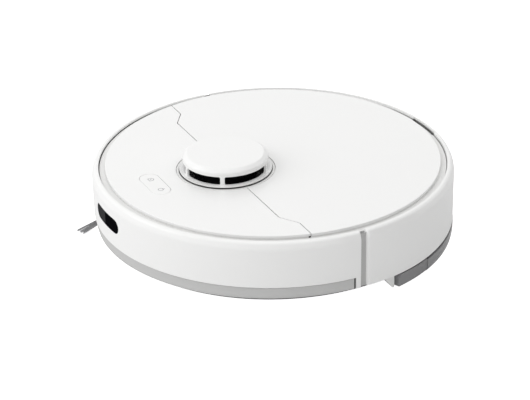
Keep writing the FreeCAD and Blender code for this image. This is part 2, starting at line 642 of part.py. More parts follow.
# ---- running gear -------------------------------------------------------
def make_wheel_frame():
    """Box round the arm and arch over the wheel, on the +X side, standing on the floor."""
    py, pz = ARM_PIVOT
    x1 = ARM_X[1]
    low = FLOOR_TOP
    wall = FRAME_WALL
    arm_plan, wheel_plan = wheel_rooms()
    arm_top = WHEEL_R + ARM_R + 3.0
    arm_box = box(arm_plan[0] - wall, arm_plan[1] + wall, arm_plan[2] - wall, arm_plan[3] + wall,
                  low, arm_top + wall)
    arm_room = box(*arm_plan, 0, arm_top)
    w0, w1, w2, w3 = wheel_plan
    arch = join([rod_x(0, WHEEL_R, ARCH_R + wall, w0 - wall, w1 + wall),
                 box(w0 - wall, w1 + wall, w2 - wall, w3 + wall, low, WHEEL_R + 1.0)])
    arch = arch.common(box(0, BODY_R, -BODY_R, BODY_R, low, PANEL_TOP))
    arch_room = join([rod_x(0, WHEEL_R, ARCH_R, w0, w1), box(*wheel_plan, 0, WHEEL_R + 1.0)])
    passage = join([rod_x(0, WHEEL_R, ARCH_R, x1 - 1.0, w0 + 0.4),
                    box(x1 - 1.0, w0 + 0.4, w2, w3, 0, WHEEL_R + 1.0)])
    passage = passage.common(box(0, BODY_R, w2, arm_plan[3], 0, arm_top))
    lug = box(x1 + 1.0, x1 + 3.5, py - 7.0, py + 6.0, low, pz + 7.0)
    lug = lug.cut(box(x1, x1 + 9, w2, py + 20, 0, WHEEL_R + 1.0))
    frame = join([join([arm_box, arch]).cut([arm_room, arch_room, passage]), lug])
    return frame.cut(rod_x(py, pz, PIVOT_PIN_R, arm_plan[0] - wall, x1 + 3.5))


def make_wheel_sets():
    py, pz = ARM_PIVOT
    x0, x1 = ARM_X
    tyre_out = WHEEL_X + WHEEL_HALF
    arm = join([slab_x(hull_of_two((py, pz), ARM_PIVOT_R, (0, WHEEL_R), ARM_R), x0, x1),
                rod_x(py, pz, ARM_PIVOT_R, x0, x1), rod_x(0, WHEEL_R, ARM_R, x0, x1)])
    arm = arm.cut([box(x0 - 1, x0 + 3.0, py - 14, py + 12.0, pz - 16, pz + 16),
                   rod_x(py, pz, PIVOT_PIN_R + FIT, 0, BODY_R),
                   rod_x(0, WHEEL_R, SHAFT_R + FIT, x1 - 8.0, x1 + 2.0)])
    hub = join([rod_x(0, WHEEL_R, HUB_R, WHEEL_X - WHEEL_HALF + 0.6, tyre_out - 1.4),
                rod_x(0, WHEEL_R, SHAFT_R, x1 - 7.6, WHEEL_X)])
    dish = rod_x(0, WHEEL_R, HUB_R - 3.0, tyre_out - 4.4, tyre_out).cut(rod_x(0, WHEEL_R, 7.0, 0, BODY_R))
    hub = hub.cut(dish)
    holes = []
    for i in range(5):
        angle = math.radians(72.0 * i)
        holes.append(rod_x(14.0 * math.cos(angle), WHEEL_R + 14.0 * math.sin(angle), 4.0,
                           WHEEL_X - 4.0, tyre_out))
    hub = hub.cut(holes)
    tyre = rod_x(0, WHEEL_R, WHEEL_R, WHEEL_X - WHEEL_HALF, tyre_out)
    tyre = tyre.cut(rod_x(0, WHEEL_R, HUB_R, 0, BODY_R))
    tyre = tyre.makeFillet(2.0, [e for e in tyre.Edges if e.Length > 2 * math.pi * (WHEEL_R - 1)])
    frame = make_wheel_frame()
    for side, turn in (("left", lambda s: s), ("right", mirrored)):
        save("wheel_frame_" + side, turn(frame))
        save("arm_" + side, turn(arm))
        save("hub_" + side, turn(hub))
        save("tyre_" + side, turn(tyre))
    pin = rod_x(py, pz, PIVOT_PIN_R, x0 - 2.9 - FRAME_WALL, x1 + 3.5)
    save("arm_pivot_pins", Part.makeCompound(both_sides(pin)))
    coils = []
    for i in range(4):
        coils += both_sides(Part.makeTorus(4.6, 0.55, V(x0 - 2.1 + 1.3 * i, py, pz), V(1, 0, 0)))
    save("arm_springs", Part.makeCompound(coils))


def make_caster():
    wheel_y = CASTER_Y + CASTER_TRAIL
    top = CASTER_ROOF - 3.2
    bridge = 2 * CASTER_R + 1.4
    cheeks = both_sides(box(CASTER_HALF + 0.6, CASTER_HALF + 3.0, wheel_y - 5, wheel_y + 5,
                            CASTER_R - 4.0, bridge + 0.5))
    fork = join([rod(0, CASTER_Y, 17.0, bridge, top), rod(0, CASTER_Y, SHAFT_R, bridge, top + 8.0),
                 rod_x(wheel_y, CASTER_R, 1.5, -CASTER_HALF - 3.0, CASTER_HALF + 3.0)] + cheeks)
    save("caster_fork", fork)
    wheel = rod_x(wheel_y, CASTER_R, CASTER_R, -CASTER_HALF, CASTER_HALF)
    wheel = wheel.makeFillet(3.0, [e for e in wheel.Edges if e.Length > 6 * CASTER_R])
    save("caster_wheel", wheel.cut(rod_x(wheel_y, CASTER_R, 1.5 + FIT, -20, 20)))


# ---- brushes ------------------------------------------------------------
def make_side_brush():
    pivot = side_brush_pivot()
    hub = join([rod(pivot.x, pivot.y, 8.0, 5.2, 9.4), rod(pivot.x, pivot.y, 3.6, 9.4, 22.0)])
    arms = []
    tufts = []
    for i in range(3):
        turn = SIDE_BRUSH_FIRST + 120.0 * i
        droop = slab_y([(16.0, 6.6), (21.0, 6.6), (SIDE_BRUSH_ARM + 1, 1.2), (SIDE_BRUSH_ARM + 1, 3.8),
                        (21.0, 8.0), (16.0, 8.0)], -10, 10)
        tuft = slab([(16.0, -2.2), (SIDE_BRUSH_ARM, -6.0, 2.0), (SIDE_BRUSH_ARM, 6.0, 2.0), (16.0, 2.2)],
                    0.5, 9.0).common(droop)
        arm = slab([(0, -4.5), (21, -3.6, 1.0), (21, 3.6, 1.0), (0, 4.5)], 6.0, 8.6).cut(tuft)
        for shape, group in ((arm, arms), (tuft, tufts)):
            shape.rotate(ORIGIN, UP, turn)
            shape.translate(pivot)
            group.append(shape)
    hub_room = rod(pivot.x, pivot.y, 2.6, 5.0, 6.6)
    save("side_brush_hub", join([hub] + arms).cut(hub_room))
    save("side_brush_bristles", Part.makeCompound(tufts))
    inward = at_bearing(BODY_R - SIDE_BRUSH_INSET - 20.0, SIDE_BRUSH_BEARING)
    plan = hull_of_two((pivot.x, pivot.y), 7.5, (inward.x, inward.y), 10.0)
    foot = FLOOR_TOP + 2.8
    motor = join([slab(plan, foot, FLOOR_TOP + 16), rod(pivot.x, pivot.y, 7.5, foot, FLOOR_TOP + 16),
                  rod(inward.x, inward.y, 10.0, foot, FLOOR_TOP + 28)])
    save("side_brush_motor", motor.cut(rod(pivot.x, pivot.y, 3.6 + FIT, 0, FLOOR_TOP + 9)))


def make_main_brush():
    half = BRUSH_HALF
    save("main_brush_core", join([rod_x(BRUSH_Y, BRUSH_Z, BRUSH_CORE_R, -half, half),
                                  rod_x(BRUSH_Y, BRUSH_Z, 2.5, -half - 3.5, half + 8.0)]))
    fins = []
    fin_count = 6
    starts = [-half + 0.5] + [x + 2.6 for x in GUARD_RIBS]
    ends = [x - 2.6 for x in GUARD_RIBS] + [half - 0.5]
    for start, end in zip(starts, ends):
        for i in range(fin_count):
            fin = box(start, end, BRUSH_Y - 0.8, BRUSH_Y + 0.8, BRUSH_Z + BRUSH_CORE_R - 1, BRUSH_Z + BRUSH_R)
            fin = fin.common(rod_x(BRUSH_Y, BRUSH_Z, BRUSH_R, start, end))
            fin = fin.cut(rod_x(BRUSH_Y, BRUSH_Z, BRUSH_CORE_R, start, end))
            fin.rotate(V(0, BRUSH_Y, BRUSH_Z), V(1, 0, 0), 360.0 / fin_count * i)
            fins.append(fin)
    save("main_brush_fins", Part.makeCompound(fins))
    make_brush_guard()
    make_brush_housing()


def make_brush_guard():
    half = BRUSH_HALF
    end = ARM_X[0] - GUARD_END_GAP
    y0 = BRUSH_Y - GUARD_HALF
    y1 = BRUSH_Y + GUARD_HALF
    low = GUARD_TOP - GUARD_T
    plate = slab([(-end, y0, 5.0), (end, y0, 5.0), (end, y1, 5.0), (-end, y1, 5.0)], low, GUARD_TOP)
    mouth = BRUSH_ROOM + 1.0
    plate = plate.cut(box(-half - 1, half + 1, BRUSH_Y - mouth, BRUSH_Y + mouth, 0, TUB_BOTTOM))
    parts = [plate]
    for x in GUARD_RIBS:
        bow = rod_x(BRUSH_Y, BRUSH_Z, BRUSH_R + 2.2, x - 1.2, x + 1.2)
        bow = bow.cut(rod_x(BRUSH_Y, BRUSH_Z, BRUSH_R + 0.7, x - 2, x + 2))
        tie = box(x - 1.2, x + 1.2, BRUSH_Y - mouth - 2.0, BRUSH_Y + mouth + 2.0, low, GUARD_TOP)
        tie = tie.cut(rod_x(BRUSH_Y, BRUSH_Z, BRUSH_R + 1.4, x - 2, x + 2))
        parts += [bow.common(box(x - 2, x + 2, y0, y1, 0, GUARD_TOP)), tie]
    save("brush_guard", join(parts))


def make_brush_housing():
    half = BRUSH_HALF
    room = BRUSH_ROOM
    roof_r = room + 2.0
    housing = join([rod_x(BRUSH_Y, BRUSH_Z, roof_r, -half - 4, half + 4),
                    box(-half - 4, half + 4, BRUSH_Y - roof_r, BRUSH_Y + roof_r, FLOOR_TOP, BRUSH_Z)])
    housing = housing.common(box(-BODY_R, BODY_R, 0, BIN_FRONT - 1.0, FLOOR_TOP, PANEL_TOP))
    throat = box(-40.0, 40.0, BRUSH_Y, BIN_FRONT - 0.6, BIN_LOW + 1.5, BIN_LOW + 20.0)
    inside = join([rod_x(BRUSH_Y, BRUSH_Z, room, -half - 2, half + 2),
                   box(-half - 2, half + 2, BRUSH_Y - room, BRUSH_Y + room, 0, BRUSH_Z)])
    housing = join([housing, throat])
    housing = housing.cut([inside, box(-38.0, 38.0, BRUSH_Y, BIN_FRONT + 5, BIN_LOW + 3.5, BIN_LOW + 18.0),
                           rod_x(BRUSH_Y, BRUSH_Z, 2.5 + FIT, -half - 9, half + 9)])
    save("brush_housing", housing)
    x0 = half + 5.0
    x1 = half + 20.0
    drive = (BRUSH_Y + 1, BRUSH_Z)
    motor = (BRUSH_Y + 12, BRUSH_Z + 14)
    gearbox = join([slab_x(hull_of_two(drive, 9.0, motor, 10.0), x0, x1),
                    rod_x(*drive, 7.5, x0, x1), rod_x(*motor, 10.0, x0, x1)])
    gearbox = gearbox.common(box(0, BODY_R, BRUSH_Y - 10.0, BODY_R, FLOOR_TOP, PANEL_TOP))
    save("brush_gearbox", gearbox.cut(rod_x(BRUSH_Y, BRUSH_Z, 2.5 + FIT, half, half + 8.5)))


# ---- insides ------------------------------------------------------------
def make_power_and_board():
    half, front, rear, low, high = BATTERY
    pack = slab([(-half, front, 6.0), (half, front, 6.0), (half, rear, 6.0), (-half, rear, 6.0)], low, high)
    save("battery_pack", pack)
    save("battery_cover", box(-half - 1.8, half + 1.8, front - 1.8, rear + 1.8, TUB_BOTTOM, FLOOR_TOP))
    top = BOARD_Z + BOARD_T
    corners = [(-70.0, -100.0, 4.0), (70.0, -100.0, 4.0), (70.0, -6.0, 4.0), (-70.0, -6.0, 4.0)]
    board = slab(corners, BOARD_Z, top)
    chips = [box(-30, -10, -70, -50, top, top + 1.8), box(8, 22, -64, -50, top, top + 1.4),
             box(30, 52, -90, -78, top, top + 3.9), box(-60, -46, -40, -20, top, top + 3.4)]
    save("main_board", join([board] + chips))
    post = join([rod(78.0, -60.0, 3.0, FLOOR_TOP, BOARD_Z),
                 box(69.0, 80.0, -63.0, -57.0, BOARD_Z - 1.4, BOARD_Z)])
    save("board_posts", Part.makeCompound(both_sides(post) + [rod(0, -10.0, 3.0, FLOOR_TOP, BOARD_Z)]))
    x, y, radius = SPEAKER
    save("speaker", join([rod(x, y, radius, RAISED_TOP, RAISED_TOP + 8.0),
                          rod(x, y, radius * 0.6, RAISED_TOP + 8.0, RAISED_TOP + 18.0)]))


def make_dust_bin():
    half = BIN_HALF
    lid_low = DECK_LOW - 0.5
    shell = box(-half, half, BIN_FRONT, BIN_REAR, BIN_LOW, lid_low)
    hollow = box(-half + BIN_WALL, half - BIN_WALL, BIN_FRONT + BIN_WALL, BIN_REAR - BIN_WALL,
                 BIN_LOW + BIN_WALL, PANEL_TOP)
    inlet = box(-36.0, 36.0, BIN_FRONT - 2, BIN_FRONT + 5, BIN_LOW + 4.0, BIN_LOW + 18.0)
    outlet = box(-half - 2, -half + 5, 78.0, 104.0, BIN_LOW + 8.0, BIN_LOW + 32.0)
    save("dust_bin", shell.cut([hollow, inlet, outlet]))
    cover = box(-half, half, BIN_FRONT, BIN_REAR, lid_low, DECK_TOP)
    grip = slab([(-24, 98, 8.0), (24, 98, 8.0), (24, 118, 8.0), (-24, 118, 8.0)], DECK_LOW + 1.4, PANEL_TOP)
    save("bin_cover", cover.cut(grip))
    block = box(-half + BIN_WALL + 0.2, -half + 11.0, 74.0, 108.0, BIN_LOW + 4.0, BIN_LOW + 36.0)
    pleats = [box(-half + 8.0, -half + 12, 76.0 + 2.4 * i, 77.2 + 2.4 * i, BIN_LOW + 7, BIN_LOW + 33)
              for i in range(13)]
    save("bin_filter", block.cut(pleats))


def make_fan():
    floor = RAISED_TOP
    wall = 1.8
    spot = at_bearing(TUB_IN - FAN_R - 3.5, FAN_BEARING)
    out = at_bearing(TUB_R - 1.0, FAN_BEARING)
    run = (out - spot).Length
    duct = box(0, run, -11.0, 11.0, FAN_TOP - 16.0, FAN_TOP)
    duct_room = box(8.0, run + 5, -9.4, 9.4, FAN_TOP - 14.4, FAN_TOP - 1.6)
    for shape in (duct, duct_room):
        shape.rotate(ORIGIN, UP, FAN_BEARING - 90.0)
        shape.translate(spot)
    housing = join([rod(spot.x, spot.y, FAN_R, floor, FAN_TOP), duct])
    housing = housing.cut([rod(spot.x, spot.y, FAN_R - wall, floor + 6.0, FAN_TOP - wall), duct_room,
                           rod(spot.x, spot.y, 13.0, FAN_TOP - 4.0, FAN_TOP + 6.0)])
    axle_top = FAN_TOP - 14.0
    save("fan_housing", join([housing, rod(spot.x, spot.y, 2.0, floor + 5.0, axle_top)]))
    disc_low = axle_top - 8.0
    rotor = [rod(0, 0, FAN_R - 5.0, disc_low, disc_low + 2.5), rod(0, 0, 6.0, disc_low + 2.5, axle_top + 6.0)]
    for i in range(9):
        blade = box(5.0, FAN_R - 5.5, -0.7, 0.7, disc_low + 2.0, axle_top + 7.0)
        blade.rotate(V(5.0, 0, 0), UP, 18.0)
        blade.rotate(ORIGIN, UP, 40.0 * i)
        rotor.append(blade)
    rotor = join(rotor).common(rod(0, 0, FAN_R - 3.0, 0, FAN_TOP)).cut(rod(0, 0, 2.0 + FIT, 0, axle_top + 1.0))
    rotor.translate(spot)
    save("fan_rotor", rotor)


# ---- tank and mop -------------------------------------------------------
def clip_room(grow):
    low, high = CLIP_BEARINGS
    spread = math.degrees(grow / BODY_R)
    depth = CLIP_T + (CLIP_TRAVEL + 0.6 if grow > 0 else 0.0) + max(grow - 1.0, 0.0)
    room = band(BODY_R - depth, BODY_R + 5 * (grow > 0), TANK_LOW - (1 if grow > 0 else -0.6),
                TANK_HIGH + (1 if grow > 0 else -0.7), low - spread, high + spread)
    return room


def make_tank():
    rooms = both_sides(clip_room(1.0))
    wide_rooms = both_sides(clip_room(1.0 + TANK_WALL))
    disc = ring([(0, TANK_LOW), (TANK_R - 1.2, TANK_LOW, 3.0), (TANK_R, TANK_LOW + 6.0, 6.0),
                 (TANK_R, TANK_HIGH), (0, TANK_HIGH)])
    lid_t = 2.0
    body = disc.common(tank_zone(0, TANK_LOW, TANK_HIGH - lid_t)).cut(rooms)
    hollow = band(0, TANK_R - TANK_WALL, TANK_LOW + TANK_WALL, TANK_HIGH)
    hollow = hollow.common(tank_zone(-TANK_WALL, 0, TANK_HIGH)).cut(wide_rooms)
    save("water_tank", body.cut(hollow))
    top = disc.common(tank_zone(0, TANK_HIGH - lid_t, TANK_HIGH)).cut(rooms)
    filler = rod(70.0, 110.0, 9.0, TANK_HIGH - 0.8, TANK_HIGH + 1)
    save("tank_top", top.cut(filler))
    low, high = CLIP_BEARINGS
    clip = ring([(BODY_R - CLIP_T, TANK_LOW + 0.6), (TANK_R - 0.8, TANK_LOW + 0.6, 2.5),
                 (TANK_R - 0.2, TANK_LOW + 6.0, 5.0), (TANK_R - 0.2, TANK_HIGH - 0.7, 1.0),
                 (BODY_R - CLIP_T, TANK_HIGH - 0.7)], low, high)
    clip = clip.common(tank_zone(0, 0, PANEL_TOP))
    save("tank_clip_left", clip)
    save("tank_clip_right", mirrored(clip))
    reach = TANK_R - 9.0
    plan = slab([(-136, PAD_FRONT_Y, 12.0), (136, PAD_FRONT_Y, 12.0), (BODY_R, 120), (BODY_R, BODY_R + 5),
                 (-BODY_R, BODY_R + 5), (-BODY_R, 120)], 0, TANK_LOW)
    plate = plan.common(rod(0, 0, reach, PAD_T + 0.1, TANK_LOW))
    pad = plan.common(rod(0, 0, reach, 0, PAD_T + 0.1))
    save("mop_plate", plate)
    save("mop_pad", pad)


os.makedirs("parts", exist_ok=True)
make_bumper()
make_rear_shell()
make_front_panel()
make_lid()
make_rim_ring()
make_skirt()
make_chassis()
make_deck()
make_turret()
make_key()
make_wheel_sets()
make_caster()
make_side_brush()
make_main_brush()
make_power_and_board()
make_dust_bin()
make_fan()
make_tank()
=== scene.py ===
import json
import math
import random

import bmesh
import bpy
from mathutils import Matrix, Vector

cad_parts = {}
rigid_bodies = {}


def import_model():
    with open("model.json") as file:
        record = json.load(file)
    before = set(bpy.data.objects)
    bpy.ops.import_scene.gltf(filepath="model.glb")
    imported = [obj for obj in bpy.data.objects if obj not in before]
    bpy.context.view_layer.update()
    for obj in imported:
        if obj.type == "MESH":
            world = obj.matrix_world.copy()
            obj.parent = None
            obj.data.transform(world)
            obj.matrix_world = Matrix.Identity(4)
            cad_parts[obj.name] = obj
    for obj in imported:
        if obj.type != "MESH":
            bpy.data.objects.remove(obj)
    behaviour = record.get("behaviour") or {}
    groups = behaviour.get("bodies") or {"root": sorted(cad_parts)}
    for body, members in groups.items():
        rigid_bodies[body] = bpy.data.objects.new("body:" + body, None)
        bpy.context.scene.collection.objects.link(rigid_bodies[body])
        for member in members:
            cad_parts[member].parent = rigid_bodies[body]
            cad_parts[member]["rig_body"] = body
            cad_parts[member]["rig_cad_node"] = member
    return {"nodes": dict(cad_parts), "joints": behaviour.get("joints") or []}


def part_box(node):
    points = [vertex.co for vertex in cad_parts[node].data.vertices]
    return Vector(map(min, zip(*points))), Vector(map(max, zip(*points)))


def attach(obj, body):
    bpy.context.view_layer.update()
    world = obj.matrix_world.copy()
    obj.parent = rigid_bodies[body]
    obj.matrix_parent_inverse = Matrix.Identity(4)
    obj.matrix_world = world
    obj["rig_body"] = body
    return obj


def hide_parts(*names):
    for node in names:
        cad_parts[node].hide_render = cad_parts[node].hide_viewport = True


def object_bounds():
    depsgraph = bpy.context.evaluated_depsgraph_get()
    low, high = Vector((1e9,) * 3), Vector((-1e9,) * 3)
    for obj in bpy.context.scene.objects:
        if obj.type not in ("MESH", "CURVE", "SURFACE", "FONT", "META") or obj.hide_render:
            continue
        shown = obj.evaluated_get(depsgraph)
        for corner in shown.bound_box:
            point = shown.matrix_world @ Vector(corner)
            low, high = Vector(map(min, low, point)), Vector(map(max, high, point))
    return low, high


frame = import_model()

cad_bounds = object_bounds()
random.seed(11)

# ---- bumper ---------------------------------------------------------------
# The white front half of the side: one injection-moulded gloss shell with a soft
# shoulder and an inward lip. It floats on the chassis and moves back when it is hit.
# Its two ends reach down past the skirt strip.


def alone(piece):
    bpy.ops.object.select_all(action="DESELECT")
    piece.select_set(True)
    bpy.context.view_layer.objects.active = piece


def pick(kind, test):
    """In edit mode, selects the verts, edges or faces that pass the test, and nothing else."""
    mesh_data = bpy.context.active_object.data
    bpy.ops.mesh.select_mode(type={"verts": "VERT", "edges": "EDGE", "faces": "FACE"}[kind])
    bpy.ops.mesh.select_all(action="DESELECT")
    mesh = bmesh.from_edit_mesh(mesh_data)
    for item in getattr(mesh, kind):
        if test(item):
            item.select_set(True)
    mesh.select_flush_mode()
    bmesh.update_edit_mesh(mesh_data)


def spot(plane, a, b):
    """A point given by two millimetre values in the XZ, XY or YZ plane."""
    places = {"XZ": (a, 0, b), "XY": (a, b, 0), "YZ": (0, a, b)}
    return Vector(places[plane]) / 1000


def drawn(name, corners, plane="XZ", arc_steps=6):
    """A flat face drawn from one vertex through (a, b) or (a, b, radius) corners, in millimetres."""
    points = [spot(plane, c[0], c[1]) for c in corners]
    bpy.ops.object.select_all(action="DESELECT")
    bpy.ops.mesh.primitive_plane_add(size=0.002, location=points[0])
    piece = bpy.context.active_object
    piece.name = name
    bpy.ops.object.transform_apply(location=True, rotation=True, scale=True)
    bpy.ops.object.mode_set(mode="EDIT")
    bpy.ops.mesh.select_mode(type="VERT")
    bpy.ops.mesh.select_all(action="SELECT")
    bpy.ops.mesh.merge(type="CENTER")
    for here, there in zip(points, points[1:]):
        bpy.ops.mesh.extrude_vertices_move(TRANSFORM_OT_translate={"value": there - here})
    bpy.ops.mesh.select_all(action="SELECT")
    bpy.ops.mesh.edge_face_add()
    for i, corner in enumerate(corners):
        if len(corner) > 2 and corner[2] > 0:
            point = points[i]
            to_back = points[i - 1] - point
            to_next = points[(i + 1) % len(points)] - point
            reach = corner[2] / 1000 / math.tan(to_back.angle(to_next) / 2)
            pick("verts", lambda v: (v.co - point).length < 3e-6)
            bpy.ops.mesh.bevel(offset=reach, affect="VERTICES", segments=arc_steps, profile=0.5)
    bpy.ops.mesh.select_all(action="SELECT")
    return piece


def cleaned():
    """Leaves edit mode with doubles merged and faces pointing outwards."""
    bpy.ops.mesh.select_all(action="SELECT")
    bpy.ops.mesh.remove_doubles(threshold=2e-6)
    bpy.ops.mesh.normals_make_consistent(inside=False)
    bpy.ops.object.mode_set(mode="OBJECT")


def placed(piece, turn=(0, 0, 0), shift=(0, 0, 0)):
    """Turns a finished piece by degrees, moves it by millimetres, and puts both into its mesh."""
    alone(piece)
    piece.rotation_euler = [math.radians(a) for a in turn]
    piece.location = Vector(shift) / 1000
    bpy.ops.object.transform_apply(location=True, rotation=True, scale=True)
    return piece


def turned(name, corners, start=0.0, end=360.0, steps=180, arc_steps=6, ends=None):
    """A (radius, height) section spun about Z between two bearings, counted from the front, -Y, to +X.

    ends is (rounding, reach): both end faces are rounded on the edges within reach of the outside.
    """
    piece = drawn(name, corners, "XZ", arc_steps)
    parts = [(end - start, steps)]
    if end - start > 359.9:
        bpy.ops.mesh.delete(type="ONLY_FACE")
        bpy.ops.mesh.select_all(action="SELECT")
    if ends:
        last_step = math.degrees(ends[0] / corners[0][0] * 1.6)
        parts = [(last_step, 1), (end - start - 2 * last_step, steps), (last_step, 1)]
    for turn, count in parts:
        bpy.ops.mesh.spin(steps=count, angle=-math.radians(turn), center=(0, 0, 0), axis=(0, 0, 1))
    bpy.ops.mesh.select_all(action="SELECT")
    bpy.ops.mesh.remove_doubles(threshold=2e-6)
    bpy.ops.mesh.normals_make_consistent(inside=False)
    if ends:
        rim = (max(c[0] for c in corners) - ends[1]) / 1000
        foot = min(c[1] for c in corners) / 1000 + 1e-6
        sweep = math.radians(end - start)
        far_normal = Vector((math.sin(sweep), math.cos(sweep), 0))

        def on_end(edge):
            near = all(abs(v.co.y) < 2e-6 and v.co.x > 0 for v in edge.verts)
            far = all(abs(v.co.dot(far_normal)) < 2e-6 for v in edge.verts)
            outer = any(math.hypot(v.co.x, v.co.y) > rim for v in edge.verts)
            return (near or far) and outer and not all(v.co.z < foot for v in edge.verts)
        pick("edges", on_end)
        bpy.ops.mesh.bevel(offset=ends[0] / 1000, affect="EDGES", segments=5, profile=0.5)
    cleaned()
    return placed(piece, (0, 0, start - 90))


def raised(name, corners, low, high, plane="XY", arc_steps=6):
    """An outline drawn in a plane and extruded between two distances from it, in millimetres."""
    piece = drawn(name, corners, plane, arc_steps)
    axis = Vector({"XY": (0, 0, 1), "XZ": (0, 1, 0), "YZ": (1, 0, 0)}[plane])
    bpy.ops.transform.translate(value=axis * low / 1000)
    bpy.ops.mesh.extrude_region_move(TRANSFORM_OT_translate={"value": axis * (high - low) / 1000})
    cleaned()
    return piece


def block(name, x0, x1, y0, y1, z0, z1):
    return raised(name, [(x0, y0), (x1, y0), (x1, y1), (x0, y1)], z0, z1)


def joined(piece, tools, operation):
    for tool in tools:
        alone(piece)
        change = piece.modifiers.new("join", "BOOLEAN")
        change.operation = operation
        change.solver = "EXACT"
        change.object = tool
        bpy.ops.object.modifier_apply(modifier=change.name)
        bpy.data.objects.remove(tool)
    return piece


def carved(piece, *tools):
    return joined(piece, tools, "DIFFERENCE")


def soften(piece, width, test, steps=3):
    """Bevels the sharp edges that pass the test, by a width in millimetres."""
    alone(piece)
    bpy.ops.object.mode_set(mode="EDIT")
    pick("edges", lambda e: len(e.link_faces) == 2 and e.calc_face_angle(0) > 0.9 and test(e))
    bpy.ops.mesh.bevel(offset=width / 1000, affect="EDGES", segments=steps, profile=0.5)
    cleaned()
    return piece


def fitted(piece, body, material, slot, *nodes, angle=38):
    """Shades a finished piece, gives it its material, and puts it on its body in place of CAD nodes."""
    alone(piece)
    bpy.ops.object.shade_smooth_by_angle(angle=math.radians(angle))
    flats = piece.modifiers.new("flats", "WEIGHTED_NORMAL")
    flats.keep_sharp = True
    bpy.ops.object.modifier_apply(modifier=flats.name)
    piece.data.materials.clear()
    piece.data.materials.append(material)
    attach(piece, body)
    if nodes:
        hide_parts(*nodes)
    return piece


def node_group(name, inputs, outputs):
    tree = bpy.data.node_groups.new(name, "ShaderNodeTree")
    for label, value in inputs:
        kind = "NodeSocketVector" if value is None else "NodeSocketFloat"
        socket = tree.interface.new_socket(label, in_out="INPUT", socket_type=kind)
        if value is not None:
            socket.default_value = value
    for label in outputs:
        tree.interface.new_socket(label, in_out="OUTPUT", socket_type="NodeSocketFloat")
    return tree, tree.nodes.new("NodeGroupInput"), tree.nodes.new("NodeGroupOutput")


def linked(tree, source, output, target, socket):
    tree.links.new(source.outputs[output], target.inputs[socket])


def maths(tree, kind, a, b):
    """A Math node; a and b are numbers or (node, output) pairs."""
    node = tree.nodes.new("ShaderNodeMath")
    node.operation = kind
    for i, value in enumerate((a, b)):
        if isinstance(value, tuple):
            tree.links.new(value[0].outputs[value[1]], node.inputs[i])
        else:
            node.inputs[i].default_value = value
    return node


# Moulded grain: a fine peel for the bump, and slow patches that shift colour and gloss.
moulded_grain, grain_in, grain_out = node_group(
    "moulded_grain", [("Vector", None), ("Grain", 1500.0), ("Patch", 18.0)], ["Height", "Mottle"])
grain_fine = moulded_grain.nodes.new("ShaderNodeTexNoise")
grain_fine.inputs["Detail"].default_value = 3.0
grain_patch = moulded_grain.nodes.new("ShaderNodeTexNoise")
grain_patch.inputs["Detail"].default_value = 4.0
for grain_noise, grain_scale in ((grain_fine, "Grain"), (grain_patch, "Patch")):
    linked(moulded_grain, grain_in, "Vector", grain_noise, "Vector")
    linked(moulded_grain, grain_in, grain_scale, grain_noise, "Scale")
linked(moulded_grain, grain_fine, "Fac", grain_out, "Height")
linked(moulded_grain, grain_patch, "Fac", grain_out, "Mottle")

# Edge wear and painted highlight: raised edges are painted lighter, as rubbed and as catching light, more in
# some patches than in others.
edge_wear, edge_mark_in, edge_mark_out = node_group("edge_wear", [("Vector", None), ("Amount", 0.5)], ["Mask"])
edge_mark_geometry = edge_wear.nodes.new("ShaderNodeNewGeometry")
edge_mark_range = edge_wear.nodes.new("ShaderNodeMapRange")
edge_mark_range.inputs["From Min"].default_value = 0.52
edge_mark_range.inputs["From Max"].default_value = 0.62
edge_mark_noise = edge_wear.nodes.new("ShaderNodeTexNoise")
edge_mark_noise.inputs["Scale"].default_value = 160.0
linked(edge_wear, edge_mark_in, "Vector", edge_mark_noise, "Vector")
linked(edge_wear, edge_mark_geometry, "Pointiness", edge_mark_range, "Value")
edge_mark_patchy = maths(edge_wear, "MULTIPLY", (edge_mark_range, "Result"), (edge_mark_noise, "Fac"))
edge_mark_scaled = maths(edge_wear, "MULTIPLY", (edge_mark_patchy, 0), (edge_mark_in, "Amount"))
linked(edge_wear, edge_mark_scaled, 0, edge_mark_out, "Mask")

# Dust: settles on what faces up, in soft specks.
settled_dust, dust_in, dust_out = node_group("settled_dust", [("Vector", None), ("Amount", 0.2)], ["Mask"])
dust_geometry = settled_dust.nodes.new("ShaderNodeNewGeometry")
dust_split = settled_dust.nodes.new("ShaderNodeSeparateXYZ")
dust_noise = settled_dust.nodes.new("ShaderNodeTexNoise")
dust_noise.inputs["Scale"].default_value = 420.0
dust_noise.inputs["Detail"].default_value = 6.0
linked(settled_dust, dust_in, "Vector", dust_noise, "Vector")
linked(settled_dust, dust_geometry, "Normal", dust_split, "Vector")
dust_up = maths(settled_dust, "MAXIMUM", (dust_split, "Z"), 0.0)
dust_specks = maths(settled_dust, "MULTIPLY", (dust_up, 0), (dust_noise, "Fac"))
dust_scaled = maths(settled_dust, "MULTIPLY", (dust_specks, 0), (dust_in, "Amount"))
linked(settled_dust, dust_scaled, 0, dust_out, "Mask")


def mixed(tree, mask, first, second):
    """A colour mix; first and second are colours or (node, output) pairs, mask a (node, output) pair."""
    node = tree.nodes.new("ShaderNodeMix")
    node.data_type = "RGBA"
    tree.links.new(mask[0].outputs[mask[1]], node.inputs["Factor"])
    for socket, value in ((node.inputs[6], first), (node.inputs[7], second)):
        if isinstance(value, tuple) and not isinstance(value[0], float):
            tree.links.new(value[0].outputs[value[1]], socket)
        else:
            socket.default_value = (*value, 1.0)
    return node


def shades(colour, change):
    """A colour a little darker and a little lighter."""
    darker = tuple(c * (1 - change) for c in colour)
    lighter = tuple(min(1.0, c * (1 + change)) for c in colour)
    return darker, lighter


